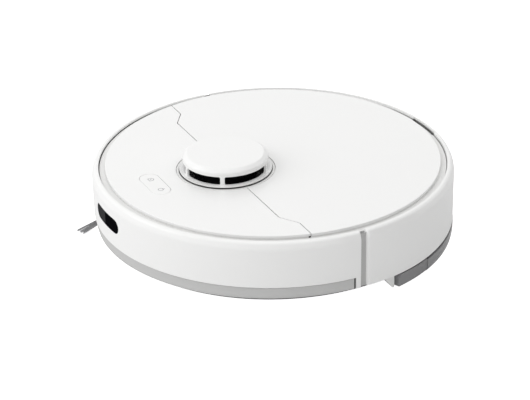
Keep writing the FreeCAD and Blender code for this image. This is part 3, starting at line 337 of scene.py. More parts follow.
def moulding(name, colour, roughness, grain=1500.0, depth=0.10, mottle=0.02, worn_and_highlight=0.0, dust=0.0, coat=0.0,
             metallic=0.0):
    """A moulded or cast finish: patchy colour, grained bump, rubbed edges with painted highlight, dust on top
    faces.
    """
    material = bpy.data.materials.new(name)
    material.use_nodes = True
    tree = material.node_tree
    shader = tree.nodes["Principled BSDF"]
    place = tree.nodes.new("ShaderNodeTexCoord")
    surface = tree.nodes.new("ShaderNodeGroup")
    surface.node_tree = moulded_grain
    surface.inputs["Grain"].default_value = grain
    linked(tree, place, "Object", surface, "Vector")
    darker, lighter = shades(colour, mottle)
    tone = mixed(tree, (surface, "Mottle"), darker, lighter)
    # Raised edges are painted lighter: partly wear, partly a painted highlight.
    masks = [(worn_and_highlight, edge_wear, tuple(min(1.0, c * 1.6 + 0.05) for c in colour)),
             (dust, settled_dust, (0.62, 0.60, 0.57))]
    for amount, effect, effect_colour in masks:
        if amount > 0:
            layer = tree.nodes.new("ShaderNodeGroup")
            layer.node_tree = effect
            layer.inputs["Amount"].default_value = amount
            linked(tree, place, "Object", layer, "Vector")
            tone = mixed(tree, (layer, "Mask"), (tone, 2), effect_colour)
    tree.links.new(tone.outputs[2], shader.inputs["Base Color"])
    gloss = tree.nodes.new("ShaderNodeMapRange")
    gloss.inputs["To Min"].default_value = roughness * 0.88
    gloss.inputs["To Max"].default_value = min(1.0, roughness * 1.12)
    linked(tree, surface, "Mottle", gloss, "Value")
    linked(tree, gloss, "Result", shader, "Roughness")
    bump = tree.nodes.new("ShaderNodeBump")
    bump.inputs["Strength"].default_value = depth
    bump.inputs["Distance"].default_value = 0.0001
    linked(tree, surface, "Height", bump, "Height")
    linked(tree, bump, "Normal", shader, "Normal")
    shader.inputs["Metallic"].default_value = metallic
    shader.inputs["Coat Weight"].default_value = coat
    shader.inputs["Coat Roughness"].default_value = 0.08
    return material


def overlay(material, mask, colour):
    """Mixes a colour over a finish's own, by a mask given as a (node, output) pair."""
    tree = material.node_tree
    shader = tree.nodes["Principled BSDF"]
    tone = mixed(tree, mask, (shader.inputs["Base Color"].links[0].from_node, 2), colour)
    tree.links.new(tone.outputs[2], shader.inputs["Base Color"])


white_gloss = moulding("white_gloss_shell", (0.90, 0.90, 0.893), 0.30, grain=900.0, depth=0.05, mottle=0.006,
                       dust=0.03, coat=0.25)

body_r = cad_bounds[1].x * 1000
crest_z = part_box("bumper")[1].z * 1000
lip_r = body_r - 6.7
lip_t = 2.0
shell_in = body_r - 2.4
wall_draft = 0.5
shoulder_drop = 6.4       # crest down to where the shoulder starts
shoulder_in = 2.6
bumper_low = 32.0
bumper_end = 91.3         # bearing of the bumper's ends
flange_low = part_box("bumper")[0].z * 1000


def shoulder(bottom, inner, soft=0.0):
    """Section of a side shell, from its foot up over the shoulder to the lip and back down inside."""
    return [(body_r - wall_draft, bottom, soft), (body_r, crest_z - shoulder_drop, 8.0),
            (body_r - shoulder_in, crest_z, 3.6), (lip_r, crest_z, soft), (lip_r, crest_z - lip_t),
            (inner, crest_z - lip_t), (inner, bottom)]


def hollow_under(bottom, inner):
    """Section of the room inside a side shell."""
    return [(inner, bottom), (shell_in - wall_draft, bottom), (shell_in, crest_z - 8.0, 3.0),
            (body_r - 4.6, crest_z - 2.1, 1.5), (inner, crest_z - 2.1)]


def stadium(wide, tall, a=0.0, b=0.0, grow=0.0):
    x = wide / 2 + grow
    y = tall / 2 + grow
    r = y - 0.002
    return [(a - x, b - y, r), (a + x, b - y, r), (a + x, b + y, r), (a - x, b + y, r)]


eye_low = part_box("bumper_window")[0]
eye_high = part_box("bumper_window")[1]
eye_half = eye_high.x * 1000 + 0.05
eye_z = (eye_low.z + eye_high.z) * 500
eye_tall = (eye_high.z - eye_low.z) * 1000 + 0.1

bumper = turned("bumper_shell", shoulder(bumper_low, lip_r + 0.9, 0.6), -bumper_end, bumper_end, 182,
                ends=(1.0, 5.0))
carved(bumper, turned("bumper_room", hollow_under(bumper_low - 1, lip_r - 1), -90.5, 90.5, 181))
for leg_side, leg_start, leg_end in (("left", 89.8, bumper_end - 0.03), ("right", -bumper_end + 0.03, -89.8)):
    leg = [(shell_in + 0.05, flange_low), (body_r - 0.56, flange_low, 0.6), (body_r - 0.52, bumper_low + 1.2),
           (shell_in + 0.05, bumper_low + 1.2)]
    leg_piece = turned("bumper_end_leg_" + leg_side, leg, leg_start, leg_end, 4, ends=(0.4, 1.2))
    fitted(leg_piece, "bumper", white_gloss, "white_shell")
carved(bumper,
       raised("eye_tool", stadium(2 * eye_half, eye_tall, 0, eye_z), -body_r - 5, -body_r + 20, "XZ", 12))
fitted(bumper, "bumper", white_gloss, "white_shell", "bumper")

# ---- bumper window --------------------------------------------------------
# Infrared-clear gloss black acrylic, snapped in from behind. Its left part is painted a
# lighter grey as a painted reflection, with a straight border beside the line laser.
eye_window = raised("bumper_eye_window", stadium(2 * eye_half, eye_tall, 0, eye_z, -0.06), -body_r - 5,
                    -body_r + 20, "XZ", 12)
eye_band = [(shell_in - 0.3, eye_z - 12), (body_r - 0.38, eye_z - 12), (body_r - 0.38, eye_z + 12),
            (shell_in - 0.3, eye_z + 12)]
joined(eye_window, [turned("eye_band", eye_band, -20, 20, 60)], "INTERSECT")

window_black = moulding("window_black_acrylic", (0.004, 0.004, 0.005), 0.10, grain=300.0, depth=0.01,
                        mottle=0.2)
window_tree = window_black.node_tree
window_place = window_tree.nodes.new("ShaderNodeTexCoord")
window_split = window_tree.nodes.new("ShaderNodeSeparateXYZ")
linked(window_tree, window_place, "Object", window_split, "Vector")
# The left part's lighter grey is a painted reflection.
painted_reflection_left = maths(window_tree, "LESS_THAN", (window_split, "X"), -0.0025)
window_shader = window_tree.nodes["Principled BSDF"]
window_shader.inputs["Specular IOR Level"].default_value = 0.0
overlay(window_black, (painted_reflection_left, 0), (0.04, 0.04, 0.042))
fitted(eye_window, "bumper", window_black, "black_gloss", "bumper_window")

# ---- rear shell -----------------------------------------------------------
# The white rear half of the side, screwed to the chassis flange from inside. Same moulding
# as the bumper; it reaches lower, has softly rounded upright ends, a finger notch in the
# lip for the lid, and the fan's outlet on one side.
rear_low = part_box("rear_shell")[0].z * 1000
rear_start = 93.5
notch = (173.0, 187.0)
exhaust_bearing = 228.0
exhaust_half = 6.55
flange_r = body_r - 3.6
rear_shell = turned("rear_side_shell", shoulder(rear_low, lip_r - 0.3), rear_start, 360 - rear_start, 173,
                    ends=(3.2, 5.0))
rear_room = [(lip_r - 2.3, rear_low - 1), (shell_in - 0.5, rear_low - 1), (shell_in - 0.5, rear_low + 1.5),
             (flange_r + 0.05, rear_low + 1.5), (flange_r + 0.05, rear_low + 4.0),
             (shell_in - 0.5, rear_low + 4.0),
             (shell_in, crest_z - 8.0, 3.0), (body_r - 4.6, crest_z - 2.1, 1.5), (lip_r - 2.3, crest_z - 2.1)]
notch_section = [(lip_r - 1.0, crest_z - 3.0), (lip_r + 0.9, crest_z - 3.0), (lip_r + 0.9, crest_z + 1.0),
                 (lip_r - 1.0, crest_z + 1.0)]
flange_section = [(150, 5), (flange_r + 0.04, 5), (flange_r + 0.04, 31.5), (150, 31.5)]
exhaust_section = [(lip_r - 3, 35.95), (body_r + 5, 35.95), (body_r + 5, 58.05), (lip_r - 3, 58.05)]
carved(rear_shell,
       turned("rear_room", rear_room, rear_start + 1, 359 - rear_start, 171),
       turned("flange_room", flange_section, rear_start - 2, 362 - rear_start, 177),
       turned("lid_notch", notch_section, *notch, 14),
       turned("exhaust_hole", exhaust_section, exhaust_bearing - exhaust_half, exhaust_bearing + exhaust_half,
              13))
fitted(rear_shell, "chassis", white_gloss, "white_shell", "rear_shell")

# ---- groove tongues -------------------------------------------------------
# A thin soft lip on the rear moulding lies behind each of the two upright grooves, so
# that the groove beside the bumper's end is shallow and not black. Its mid grey is painted shade.
# The lip's mid grey is painted shade of the groove.
groove_painted_shade = moulding("groove_soft_grey", (0.50, 0.50, 0.495), 0.6, grain=2400.0, depth=0.2, mottle=0.04,
                       dust=0.05)
tongue = [(flange_r + 0.1, flange_low + 0.2), (flange_r + 0.5, flange_low + 0.2),
          (flange_r + 0.5, crest_z - 2.2),
          (flange_r + 0.1, crest_z - 2.2)]
for groove_side, groove_start, groove_end in (("left", 90.4, rear_start + 1),
                                              ("right", 359 - rear_start, 269.6)):
    return_piece = turned("rear_shell_tongue_" + groove_side, tongue, groove_start, groove_end, 5)
    fitted(return_piece, "chassis", groove_painted_shade, "white_shell")

# ---- top panels -----------------------------------------------------------
# Two thin white gloss covers make the flat top: a fixed one in front with the key in it,
# and the hinged lid behind, over the dust bin. The line between them steps at both sides.
panel_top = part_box("lid")[1].z * 1000
panel_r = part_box("lid")[1].y * 1000
panel_low = panel_top - 2.5
turret_y = -50.0
turret_hole = 47.7
key_y = -123.6
split_gap = 1.0
gutter_z = crest_z - 2.5


def lid_line(shift):
    return [(-185, -38 + shift), (-134, -38 + shift, 3.0), (-115.7, -49.7 + shift, 5.0),
            (115.7, -49.7 + shift, 5.0), (134, -38 + shift, 3.0), (185, -38 + shift)]


def top_cover(name, outline):
    """The flat top's disc, with its soft rim, kept inside an outline, and cut round the turret."""
    section = [(0, panel_low), (panel_r, panel_low), (panel_r, panel_top, 0.8), (0, panel_top)]
    cover = turned(name, section, steps=240, arc_steps=4)
    joined(cover, [raised("zone", outline, panel_low - 5, panel_top + 5)], "INTERSECT")
    hole = [(0, panel_low - 5), (turret_hole, panel_low - 5), (turret_hole, panel_top + 5), (0, panel_top + 5)]
    return carved(cover, placed(turned("turret_tool", hole, steps=120), shift=(0, turret_y, 0)))


front_cover = top_cover("front_top_cover", lid_line(-split_gap / 2) + [(185, -185), (-185, -185)])
key_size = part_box("power_key")
key_long = (key_size[1].x - key_size[0].x) * 1000
key_wide = 18.7
carved(front_cover, raised("key_tool", stadium(key_long, key_wide, 0, key_y, 0.3), panel_low - 3, panel_top + 3,
                           "XY", 14))
front_rib = [(panel_r - 8, panel_low - 5.5), (panel_r - 6, panel_low - 5.5), (panel_r - 6, panel_low + 0.4),
             (panel_r - 8, panel_low + 0.4)]
joined(front_cover, [turned("front_rib", front_rib, -68, 68, 136)], "UNION")
fitted(front_cover, "chassis", white_gloss, "white_shell", "front_panel")

lid_cover = top_cover("dust_bin_lid", lid_line(split_gap / 2) + [(185, 185), (-185, 185)])
lid_rib = [(panel_r - 10, panel_low - 1.9), (panel_r - 8, panel_low - 1.9), (panel_r - 8, panel_low + 0.4),
           (panel_r - 10, panel_low + 0.4)]
joined(lid_cover, [turned("lid_rib", lid_rib, 112, 248, 136)], "UNION")
for side in (-1, 1):
    near, far = sorted((side * 112.5, side * 120.7))
    joined(lid_cover, [block("hinge_socket", near, far, -46.4, -41.6, panel_top - 3.4, panel_low + 0.3)],
           "UNION")
fitted(lid_cover, "lid", white_gloss, "white_shell", "lid")

# ---- seam backing ---------------------------------------------------------
# Black strips under the front cover's rear edge, painted shade: they keep light
# out of the line between the two covers, so that it reads dark.
# Matt black used as painted shade: under the cover seam and in the latch slot's floor.
painted_shade_black = moulding("seam_foam_dark", (0.02, 0.02, 0.02), 0.95, grain=3500.0, depth=0.6, mottle=0.2)
for side in (-1, 1):
    for strip_name, from_x, to_x, from_y, to_y in (("inner", 48.5, 111.5, turret_y - 2.2, turret_y + 0.4),
                                                   ("outer", 136.0, 157.0, turret_y + 10, turret_y + 13.5)):
        near, far = sorted((side * from_x, side * to_x))
        dark_seam_plate = block("seam_foam_" + strip_name + ("_left" if side > 0 else "_right"), near, far, from_y, to_y,
                     gutter_z, panel_low - 0.1)
        fitted(dark_seam_plate, "chassis", painted_shade_black, "dark_plastic")

# ---- rim gutter -----------------------------------------------------------
# A pale satin ring between the top covers and the shells. It makes the shallow gutter
# round the lid; it drops away in the finger notch, and a latch slot beside the seam has a black plate of
# painted shade in its floor.
rim_section = [(panel_r - 4, gutter_z - 2), (163.0, gutter_z - 2), (163.0, gutter_z - 4), (165.4, gutter_z - 4),
               (165.4, gutter_z - 2), (lip_r - 0.8, gutter_z - 2), (lip_r - 0.8, gutter_z, 0.3),
               (panel_r - 0.4, gutter_z), (panel_r - 0.4, panel_low - 0.1), (panel_r - 4, panel_low - 0.1)]
gutter = turned("rim_gutter", rim_section, steps=240, arc_steps=3)
gutter_notch = [(panel_r + 0.5, gutter_z - 1.2), (lip_r + 1, gutter_z - 1.2), (lip_r + 1, panel_top),
                (panel_r + 0.5, panel_top)]
latch_slot = [(164.6, gutter_z - 1.2), (166.6, gutter_z - 1.2), (166.6, panel_top), (164.6, panel_top)]
carved(gutter, turned("gutter_notch", gutter_notch, *notch, 14),
       turned("latch_slot", latch_slot, 86.9, 88.9, 4))
pale_satin = moulding("pale_satin_trim", (0.80, 0.80, 0.79), 0.42, grain=2200.0, depth=0.12, mottle=0.015,
                      dust=0.05)
fitted(gutter, "chassis", pale_satin, "pale_trim", "rim_ring")
# A black plate in the slot's floor: painted shade, so the slot reads dark.
slot_shade_plate = [(164.7, gutter_z - 1.15), (166.5, gutter_z - 1.15), (166.5, gutter_z - 0.5),
              (164.7, gutter_z - 0.5)]
fitted(turned("latch_slot_floor", slot_shade_plate, 87.0, 88.8, 3), "chassis", painted_shade_black, "dark_plastic")

# ---- skirt strip ----------------------------------------------------------
# A soft grey elastomer strip round the front of the chassis flange, under the bumper,
# held in a groove. It has a rounded lower edge and stops short of the bumper's two ends.
strip_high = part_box("skirt_strip")[1].z * 1000
strip_section = [(flange_r, flange_low - 0.5), (flange_r + 0.8, flange_low - 0.5, 0.3),
                 (flange_r + 1.3, flange_low + 2, 1.0),
                 (flange_r + 1.3, strip_high, 0.5), (flange_r, strip_high)]
strip = turned("skirt_strip_rubber", strip_section, -89.3, 89.3, 178, ends=(0.5, 0.9))
strip_grey = moulding("grey_soft_strip", (0.56, 0.56, 0.555), 0.62, grain=2600.0, depth=0.25, mottle=0.05,
                      worn_and_highlight=0.2,
                      dust=0.10)
fitted(strip, "chassis", strip_grey, "grey_strip", "skirt_strip")

# ---- turret cover ---------------------------------------------------------
# The white cap over the laser range finder: one gloss moulding with a soft top edge, a thin
# flared skirt, and five rounded windows between posts. It presses down as a bump sensor.
cap_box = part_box("lidar_cover")
cap_low = cap_box[0].z * 1000
cap_top = cap_box[1].z * 1000
cap_r = 41.0
cap_skirt = cap_box[1].x * 1000
cap_in = cap_r - 2.0
window_low = panel_top + 2.0
window_high = panel_top + 10.5
posts = (0.0, 61.0, 137.5, 222.5, 299.0, 360.0)
cap_section = [(cap_in, cap_low), (cap_skirt, cap_low, 0.4), (cap_skirt, cap_low + 0.8, 0.3),
               (cap_r, window_low - 0.2, 0.8), (cap_r, cap_top - 3.4, 3.0), (cap_r - 4, cap_top, 2.0),
               (0, cap_top),
               (0, cap_top - 2.4), (cap_in - 3, cap_top - 2.4, 2.0), (cap_in, window_high + 1.5)]
turret_cap = turned("turret_cap", cap_section, steps=180)
half_post = 3.0


def radial(edge):
    """True on the four long corner edges that run outwards at a window's two ends."""
    along = edge.verts[1].co - edge.verts[0].co
    return along.length > 0.0075 and abs(along.z) < 1e-5


for left_post, right_post in zip(posts, posts[1:]):
    window = [(cap_in - 3, window_low), (cap_r + 3, window_low), (cap_r + 3, window_high),
              (cap_in - 3, window_high)]
    from_post = left_post + half_post
    to_post = right_post - half_post
    tool = turned("window_tool", window, from_post, to_post, round((to_post - from_post) / 2))
    carved(turret_cap, soften(tool, 1.6, radial, 5))
placed(turret_cap, shift=(0, turret_y, 0))
fitted(turret_cap, "lidar_cover", white_gloss, "white_shell", "lidar_cover")

# ---- power key ------------------------------------------------------------
# One rocking key in the front cover with two printed symbols, a house for docking and
# a ring with a stroke for power. The key rocks on a small trunnion underneath.
key_top = key_size[1].z * 1000
key = raised("rocking_key", stadium(key_long, key_wide, 0, key_y), key_top - 2.7, key_top, "XY", 14)
soften(key, 0.4, lambda e: all(abs(v.co.z * 1000 - key_top) < 0.02 for v in e.verts))
key_stem = [block("key_web", -0.8, 0.8, key_y - 8.3, key_y + 8.3, panel_low - 1.3, panel_low + 0.5)]
joined(key, key_stem, "UNION")
fitted(key, "power_key", white_gloss, "white_shell", "power_key")

symbol_ink = moulding("symbol_grey_ink", (0.33, 0.33, 0.34), 0.5, grain=4000.0, depth=0.1, mottle=0.10)


def ink_line(name, corners, width):
    """A closed printed line: the outline, inset by its own width, and raised a hair."""
    face = drawn(name, corners, "XY")
    bpy.ops.mesh.inset(thickness=width / 1000)
    bpy.ops.mesh.delete(type="FACE")
    bpy.ops.mesh.select_all(action="SELECT")
    bpy.ops.mesh.extrude_region_move(TRANSFORM_OT_translate={"value": (0, 0, 0.00006)})
    cleaned()
    return placed(face, shift=(0, 0, key_top - 0.02))


house = ink_line("docking_symbol",
                 [(-13.4, key_y - 2.3, 0.6), (-7.6, key_y - 2.3, 0.6), (-7.6, key_y + 1.4, 0.4),
                                    (-10.5, key_y + 3.7, 0.4), (-13.4, key_y + 1.4, 0.4)], 0.55)
ring_corners = [(13.1 + 2.7 * math.cos(a * math.pi / 12), key_y + 0.3 + 2.7 * math.sin(a * math.pi / 12))
                for a in range(24)]
power_ring = ink_line("power_symbol_ring", ring_corners, 0.55)
house_dot = raised("docking_symbol_dot", stadium(1.4, 1.4, -10.5, key_y), key_top - 0.02, key_top + 0.04)
power_bar = raised("power_symbol_bar", stadium(3.0, 0.6, 0, 0), key_top - 0.02, key_top + 0.04)
placed(power_bar, (0, 0, 90), (13.1, key_y + 3.0, 0))
for symbol in (house, house_dot, power_ring, power_bar):
    fitted(symbol, "power_key", symbol_ink, "grey_strip")

# ---- turret drum ----------------------------------------------------------
# The spinning head of the range finder: a gloss black drum on a turntable, with two lenses
# in its side, and a pulley beside it. A black collar of painted shade and a pale lip fill the base round it.


def skin(node, name, material, slot, body, angle=38):
    """A merged and smoothed copy of a CAD node, in its place."""
    source = frame["nodes"][node]
    bpy.ops.object.select_all(action="DESELECT")
    copy = source.copy()
    copy.data = source.data.copy()
    copy.name = name
    copy.parent = None
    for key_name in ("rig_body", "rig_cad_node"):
        del copy[key_name]
    bpy.context.scene.collection.objects.link(copy)
    alone(copy)
    bpy.ops.object.mode_set(mode="EDIT")
    bpy.ops.mesh.select_all(action="SELECT")
    bpy.ops.mesh.remove_doubles(threshold=2e-6)
    bpy.ops.mesh.customdata_custom_splitnormals_clear()
    bpy.ops.object.mode_set(mode="OBJECT")
    return fitted(copy, body, material, slot, node, angle=angle)


drum_black = moulding("drum_black_gloss", (0.006, 0.006, 0.007), 0.16, grain=600.0, depth=0.03, mottle=0.3)
drum_black.node_tree.nodes["Principled BSDF"].inputs["Specular IOR Level"].default_value = 0.10
lens_glass = moulding("lens_coated_glass", (0.02, 0.012, 0.03), 0.03, grain=200.0, depth=0.005, mottle=0.5,
                      coat=1.0)
inner_grey = moulding("inner_grey_plastic", (0.24, 0.24, 0.25), 0.45, grain=1800.0, depth=0.18, mottle=0.05,
                      worn_and_highlight=0.2, dust=0.08)
skin("lidar_drum", "range_finder_drum", drum_black, "black_gloss", "lidar_rotor")
skin("lidar_lenses", "range_finder_lenses", lens_glass, "black_gloss", "lidar_rotor")
skin("lidar_turntable", "range_finder_turntable", inner_grey, "inner_plastic", "lidar_rotor")
skin("lidar_pulley", "range_finder_pulley", inner_grey, "inner_plastic", "lidar_pulley")
skin("lidar_base", "turret_base_ring", pale_satin, "pale_trim", "chassis")
lip_inside = cap_skirt + 0.45
lip_outside = turret_hole - 0.7
base_lip = [(lip_inside, panel_low), (lip_outside, panel_low), (lip_outside, panel_top - 0.1, 0.3),
            (lip_inside, panel_top - 0.1, 0.3)]
# A black ring below the windows, painted shade, so that what shows through them is dark.
shade_collar = [(31, panel_top - 0.7), (cap_in - 0.6, panel_top - 0.7), (cap_in - 0.6, window_low - 0.4, 0.5),
          (31, window_low - 0.4, 0.5)]
fitted(placed(turned("turret_dark_collar", shade_collar, steps=120), shift=(0, turret_y, 0)), "chassis", drum_black,
       "black_gloss")
fitted(placed(turned("turret_base_lip", base_lip, steps=160), shift=(0, turret_y, 0)), "chassis", pale_satin,
       "pale_trim")

# ---- water tank and clips -------------------------------------------------
# Smoked clear styrene welded in two halves, with a clip each side that is pressed to let
# it slide out to the rear. The mop plate hangs under it.


def smoked(name, colour, roughness):
    """Tinted clear plastic with slight haze patches, denser where it is seen edge on."""
    material = moulding(name, colour, roughness, grain=700.0, depth=0.04, mottle=0.10)
    tree = material.node_tree
    shader = tree.nodes["Principled BSDF"]
    shader.inputs["Transmission Weight"].default_value = 0.5
    shader.inputs["IOR"].default_value = 1.45
    edge = tree.nodes.new("ShaderNodeLayerWeight")
    edge.inputs["Blend"].default_value = 0.35
    overlay(material, (edge, "Facing"), tuple(c * 0.22 for c in colour))
    return material


smoke_clear = smoked("smoked_clear_tank", (0.72, 0.72, 0.73), 0.10)
smoke_clip = smoked("smoked_clear_clip", (0.60, 0.60, 0.61), 0.12)
dark_textured = moulding("dark_textured_plastic", (0.045, 0.045, 0.048), 0.55, grain=1400.0, depth=0.45,
                         mottle=0.06,
                         worn_and_highlight=0.25, dust=0.10)
skin("water_tank", "smoked_water_tank", smoke_clear, "smoke_clear", "tank")
skin("tank_top", "water_tank_top", dark_textured, "dark_plastic", "tank")
clip_low, clip_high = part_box("tank_clip_left")
clip_floor = clip_low.z * 1000
clip_roof = clip_high.z * 1000
clip_start = 104.6
clip_end = 119.7
clip_middle = 112.0
clip_r = body_r - 0.4


def clip_block(name, wall):
    """The clip's curved block, less a wall all round, its front end rounded from floor to roof."""
    section = [(clip_r - 7.6 + wall, clip_floor + wall), (clip_r - 0.8 - wall, clip_floor + wall, 2.5),
               (clip_r - wall, clip_roof - wall), (clip_r - 7.6 + wall, clip_roof - wall)]
    piece = turned(name, section, clip_start, clip_end - wall / 3, 15)
    outline = [(-18.9 + wall, clip_floor - 1 + wall, 5.5 - wall), (60, clip_floor - 1 + wall),
               (60, clip_roof + 0.5 - wall), (-18.9 + wall, clip_roof + 0.5 - wall, 5.5 - wall)]
    zone = raised("clip_zone", outline, 140, 190, "YZ", 10)
    return joined(piece, [placed(zone, (0, 0, clip_middle - 90))], "INTERSECT")


for side_name, mirrored in (("left", False), ("right", True)):
    clip = carved(clip_block("tank_release_clip_" + side_name, 0), clip_block("clip_room", 1.3))
    if mirrored:
        alone(clip)
        clip.scale = (-1, 1, 1)
        bpy.ops.object.transform_apply(location=True, rotation=True, scale=True)
        bpy.ops.object.mode_set(mode="EDIT")
        cleaned()
    fitted(clip, "tank_clip_" + side_name, smoke_clip, "dark_plastic", "tank_clip_" + side_name)
skin("mop_plate", "mop_carrier_plate", dark_textured, "dark_plastic", "tank")
skin("tank_guides", "tank_guide_feet", pale_satin, "pale_trim", "chassis")

# ---- mop pad --------------------------------------------------------------
# A thin woven microfibre pad held under the plate by hook-and-loop, with rounded edges
# and a short uneven pile.
pad_low, pad_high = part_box("mop_pad")
pad_r = 165.6
pad_front = 86.0
pad_thick = (pad_high.z - pad_low.z) * 1000
pad = turned("mop_pad_cloth", [(0.0, 0.05), (pad_r, 0.05, 1.0), (pad_r, pad_thick, 0.6), (0.0, pad_thick)],
             steps=160)
pad_outline = [(-136, pad_front, 12), (136, pad_front, 12), (139.6, 120), (139.6, 190), (-139.6, 190),
               (-139.6, 120)]
joined(pad, [raised("pad_zone", pad_outline, -5, 10)], "INTERSECT")
alone(pad)
pad_remesh = pad.modifiers.new("even", "REMESH")
pad_remesh.mode = "VOXEL"
pad_remesh.voxel_size = 0.0012
bpy.ops.object.modifier_apply(modifier=pad_remesh.name)
pad_texture = bpy.data.textures.new("pad_pile", "CLOUDS")
pad_texture.noise_scale = 0.004
pad_push = pad.modifiers.new("pile", "DISPLACE")
pad_push.texture = pad_texture
pad_push.strength = 0.0005
pad_push.mid_level = 1.0
bpy.ops.object.modifier_apply(modifier=pad_push.name)

pad_cloth = moulding("mop_microfibre", (0.26, 0.29, 0.34), 0.92, grain=2500.0, depth=0.8, mottle=0.12, dust=0.0)
pad_tree = pad_cloth.node_tree
pad_shader = pad_tree.nodes["Principled BSDF"]
pad_place = pad_tree.nodes.new("ShaderNodeTexCoord")
weave_heights = []
for weave_axis, weave_scale in (("X", 260.0), ("Y", 420.0)):
    weave = pad_tree.nodes.new("ShaderNodeTexWave")
    weave.bands_direction = weave_axis
    weave.inputs["Scale"].default_value = weave_scale
    weave.inputs["Distortion"].default_value = 1.5
    weave.inputs["Detail"].default_value = 3.0
    linked(pad_tree, pad_place, "Object", weave, "Vector")
    weave_heights.append(weave)
woven = maths(pad_tree, "MULTIPLY", (weave_heights[0], "Fac"), (weave_heights[1], "Fac"))
overlay(pad_cloth, (woven, 0), (0.42, 0.46, 0.52))
pad_bump = pad_shader.inputs["Normal"].links[0].from_node
pad_tree.links.new(woven.outputs[0], pad_bump.inputs["Height"])
pad_bump.inputs["Distance"].default_value = 0.0004
pad_shader.inputs["Sheen Weight"].default_value = 0.4
fitted(pad, "tank", pad_cloth, "mop_cloth", "mop_pad", angle=60)

# ---- side brush -----------------------------------------------------------
# A three-armed moulded hub, screwed to the front corner's gearbox, with a fan of crimped
# nylon strands in each arm that sweep dirt towards the main brush.
pivot = Vector(next(j for j in frame["joints"] if j["name"] == "side_brush_spin")["pos_m"])
skin("side_brush_hub", "side_brush_moulded_hub", inner_grey, "inner_plastic", "side_brush")
strand_first = -71.0
strand_start = 15.0
strand_end = 57.5
strands = []
bpy.ops.object.select_all(action="DESELECT")
bpy.ops.mesh.primitive_cone_add(vertices=5, radius1=0.00030, radius2=0.00016, depth=0.001,
                                location=(0, 0, 0.0005))
strand = bpy.context.active_object
bpy.ops.object.transform_apply(location=True, rotation=True, scale=True)
bpy.ops.object.mode_set(mode="EDIT")
bpy.ops.mesh.select_all(action="SELECT")
bpy.ops.mesh.subdivide(number_cuts=1)
bpy.ops.object.mode_set(mode="OBJECT")
strand_mesh = strand.data
for arm in range(3):
    for i in range(70):
        spread = random.uniform(-5.6, 5.6)
        length = strand_end + random.uniform(-2.5, 0.9)
        heading = math.radians(strand_first + 120 * arm)
        out = Vector((math.cos(heading), math.sin(heading), 0))
        across = Vector((-math.sin(heading), math.cos(heading), 0))
        root = Vector((pivot.x, pivot.y, 0)) + (out * strand_start + across * spread * 0.28) / 1000
        root.z = (7.2 + random.uniform(-0.5, 0.5)) / 1000
        tip = Vector((pivot.x, pivot.y, 0)) + (out * length + across * spread) / 1000
        tip.z = (2.5 + random.uniform(-0.9, 0.9)) / 1000
        run = tip - root
        copy = bpy.data.objects.new("strand_copy", strand_mesh.copy())
        bpy.context.scene.collection.objects.link(copy)
        stretch = Matrix.Diagonal((1, 1, run.length / 0.001, 1))
        copy.matrix_world = Matrix.Translation(root) @ run.to_track_quat("Z",
                                                                         "Y").to_matrix().to_4x4() @ stretch
        strands.append(copy)
bpy.data.objects.remove(strand)


def gathered(name, pieces):
    """Many small copies made one piece, with its place in its mesh."""
    bpy.ops.object.select_all(action="DESELECT")
    for piece in pieces:
        piece.select_set(True)
    bpy.context.view_layer.objects.active = pieces[0]
    bpy.ops.object.transform_apply(location=True, rotation=True, scale=True)
    bpy.ops.object.join()
    pieces[0].name = name
    return pieces[0]


side_strands = gathered("side_brush_strands", strands)
nylon_grey = moulding("nylon_strand_grey", (0.50, 0.50, 0.51), 0.48, grain=900.0, depth=0.1, mottle=0.35)
fitted(side_strands, "side_brush", nylon_grey, "bristle", "side_brush_bristles")

# ---- drive wheels ---------------------------------------------------------
# Each wheel is a dished hub with a thick ribbed rubber tyre, on a sprung arm that swings
# down out of its box when the floor falls away. The tread's blocks stand on the crown.
tyre_r = 35.0
tyre_half = 10.0
hub_r = 24.0
wheel_x = 115.0
tyre_rubber = moulding("tyre_rubber_black", (0.035, 0.035, 0.036), 0.78, grain=1900.0, depth=0.5, mottle=0.12,
                       worn_and_highlight=0.3, dust=0.18)
tread_count = 36
tyre_section = [(hub_r, -tyre_half), (tyre_r - 1.6, -tyre_half, 2.0), (tyre_r - 1.6, -3.0), (tyre_r - 1.6, 3.0),
                (tyre_r - 1.6, tyre_half, 2.0), (hub_r, tyre_half)]
for side_name, side in (("left", 1), ("right", -1)):
    tyre = turned("ribbed_tyre_" + side_name, tyre_section, steps=2 * tread_count, arc_steps=4)
    alone(tyre)
    bpy.ops.object.mode_set(mode="EDIT")

    def tread_face(face):
        """Every other strip of the tyre's crown, a half strip on over the far side."""
        middle = face.calc_center_median()
        if math.hypot(middle.x, middle.y) * 1000 < tyre_r - 2.2 or abs(middle.z) > 0.0078:
            return False
        turn = math.degrees(math.atan2(middle.y, middle.x)) / 360 * 2 * tread_count
        return math.floor(turn + (1 if middle.z > 0 else 0)) % 2 == 0
    pick("faces", tread_face)
    bpy.ops.mesh.inset(thickness=0.0003, use_individual=False)
    bpy.ops.mesh.extrude_region_move(TRANSFORM_OT_translate={"value": (0, 0, 0)})
    grow = (tyre_r - 0.02) / (tyre_r - 1.6)
    bpy.ops.transform.resize(value=(grow, grow, 1), center_override=(0, 0, 0))
    bpy.ops.object.mode_set(mode="OBJECT")
    placed(tyre, (0, 90, 0), (side * wheel_x, 0, tyre_r))
    fitted(tyre, "wheel_" + side_name, tyre_rubber, "tyre", "tyre_" + side_name, angle=30)
    skin("hub_" + side_name, "dished_hub_" + side_name, dark_textured, "dark_plastic", "wheel_" + side_name)
    skin("arm_" + side_name, "drive_arm_" + side_name, dark_textured, "dark_plastic", "arm_" + side_name)
    skin("wheel_frame_" + side_name, "wheel_well_" + side_name, dark_textured, "dark_plastic", "chassis")

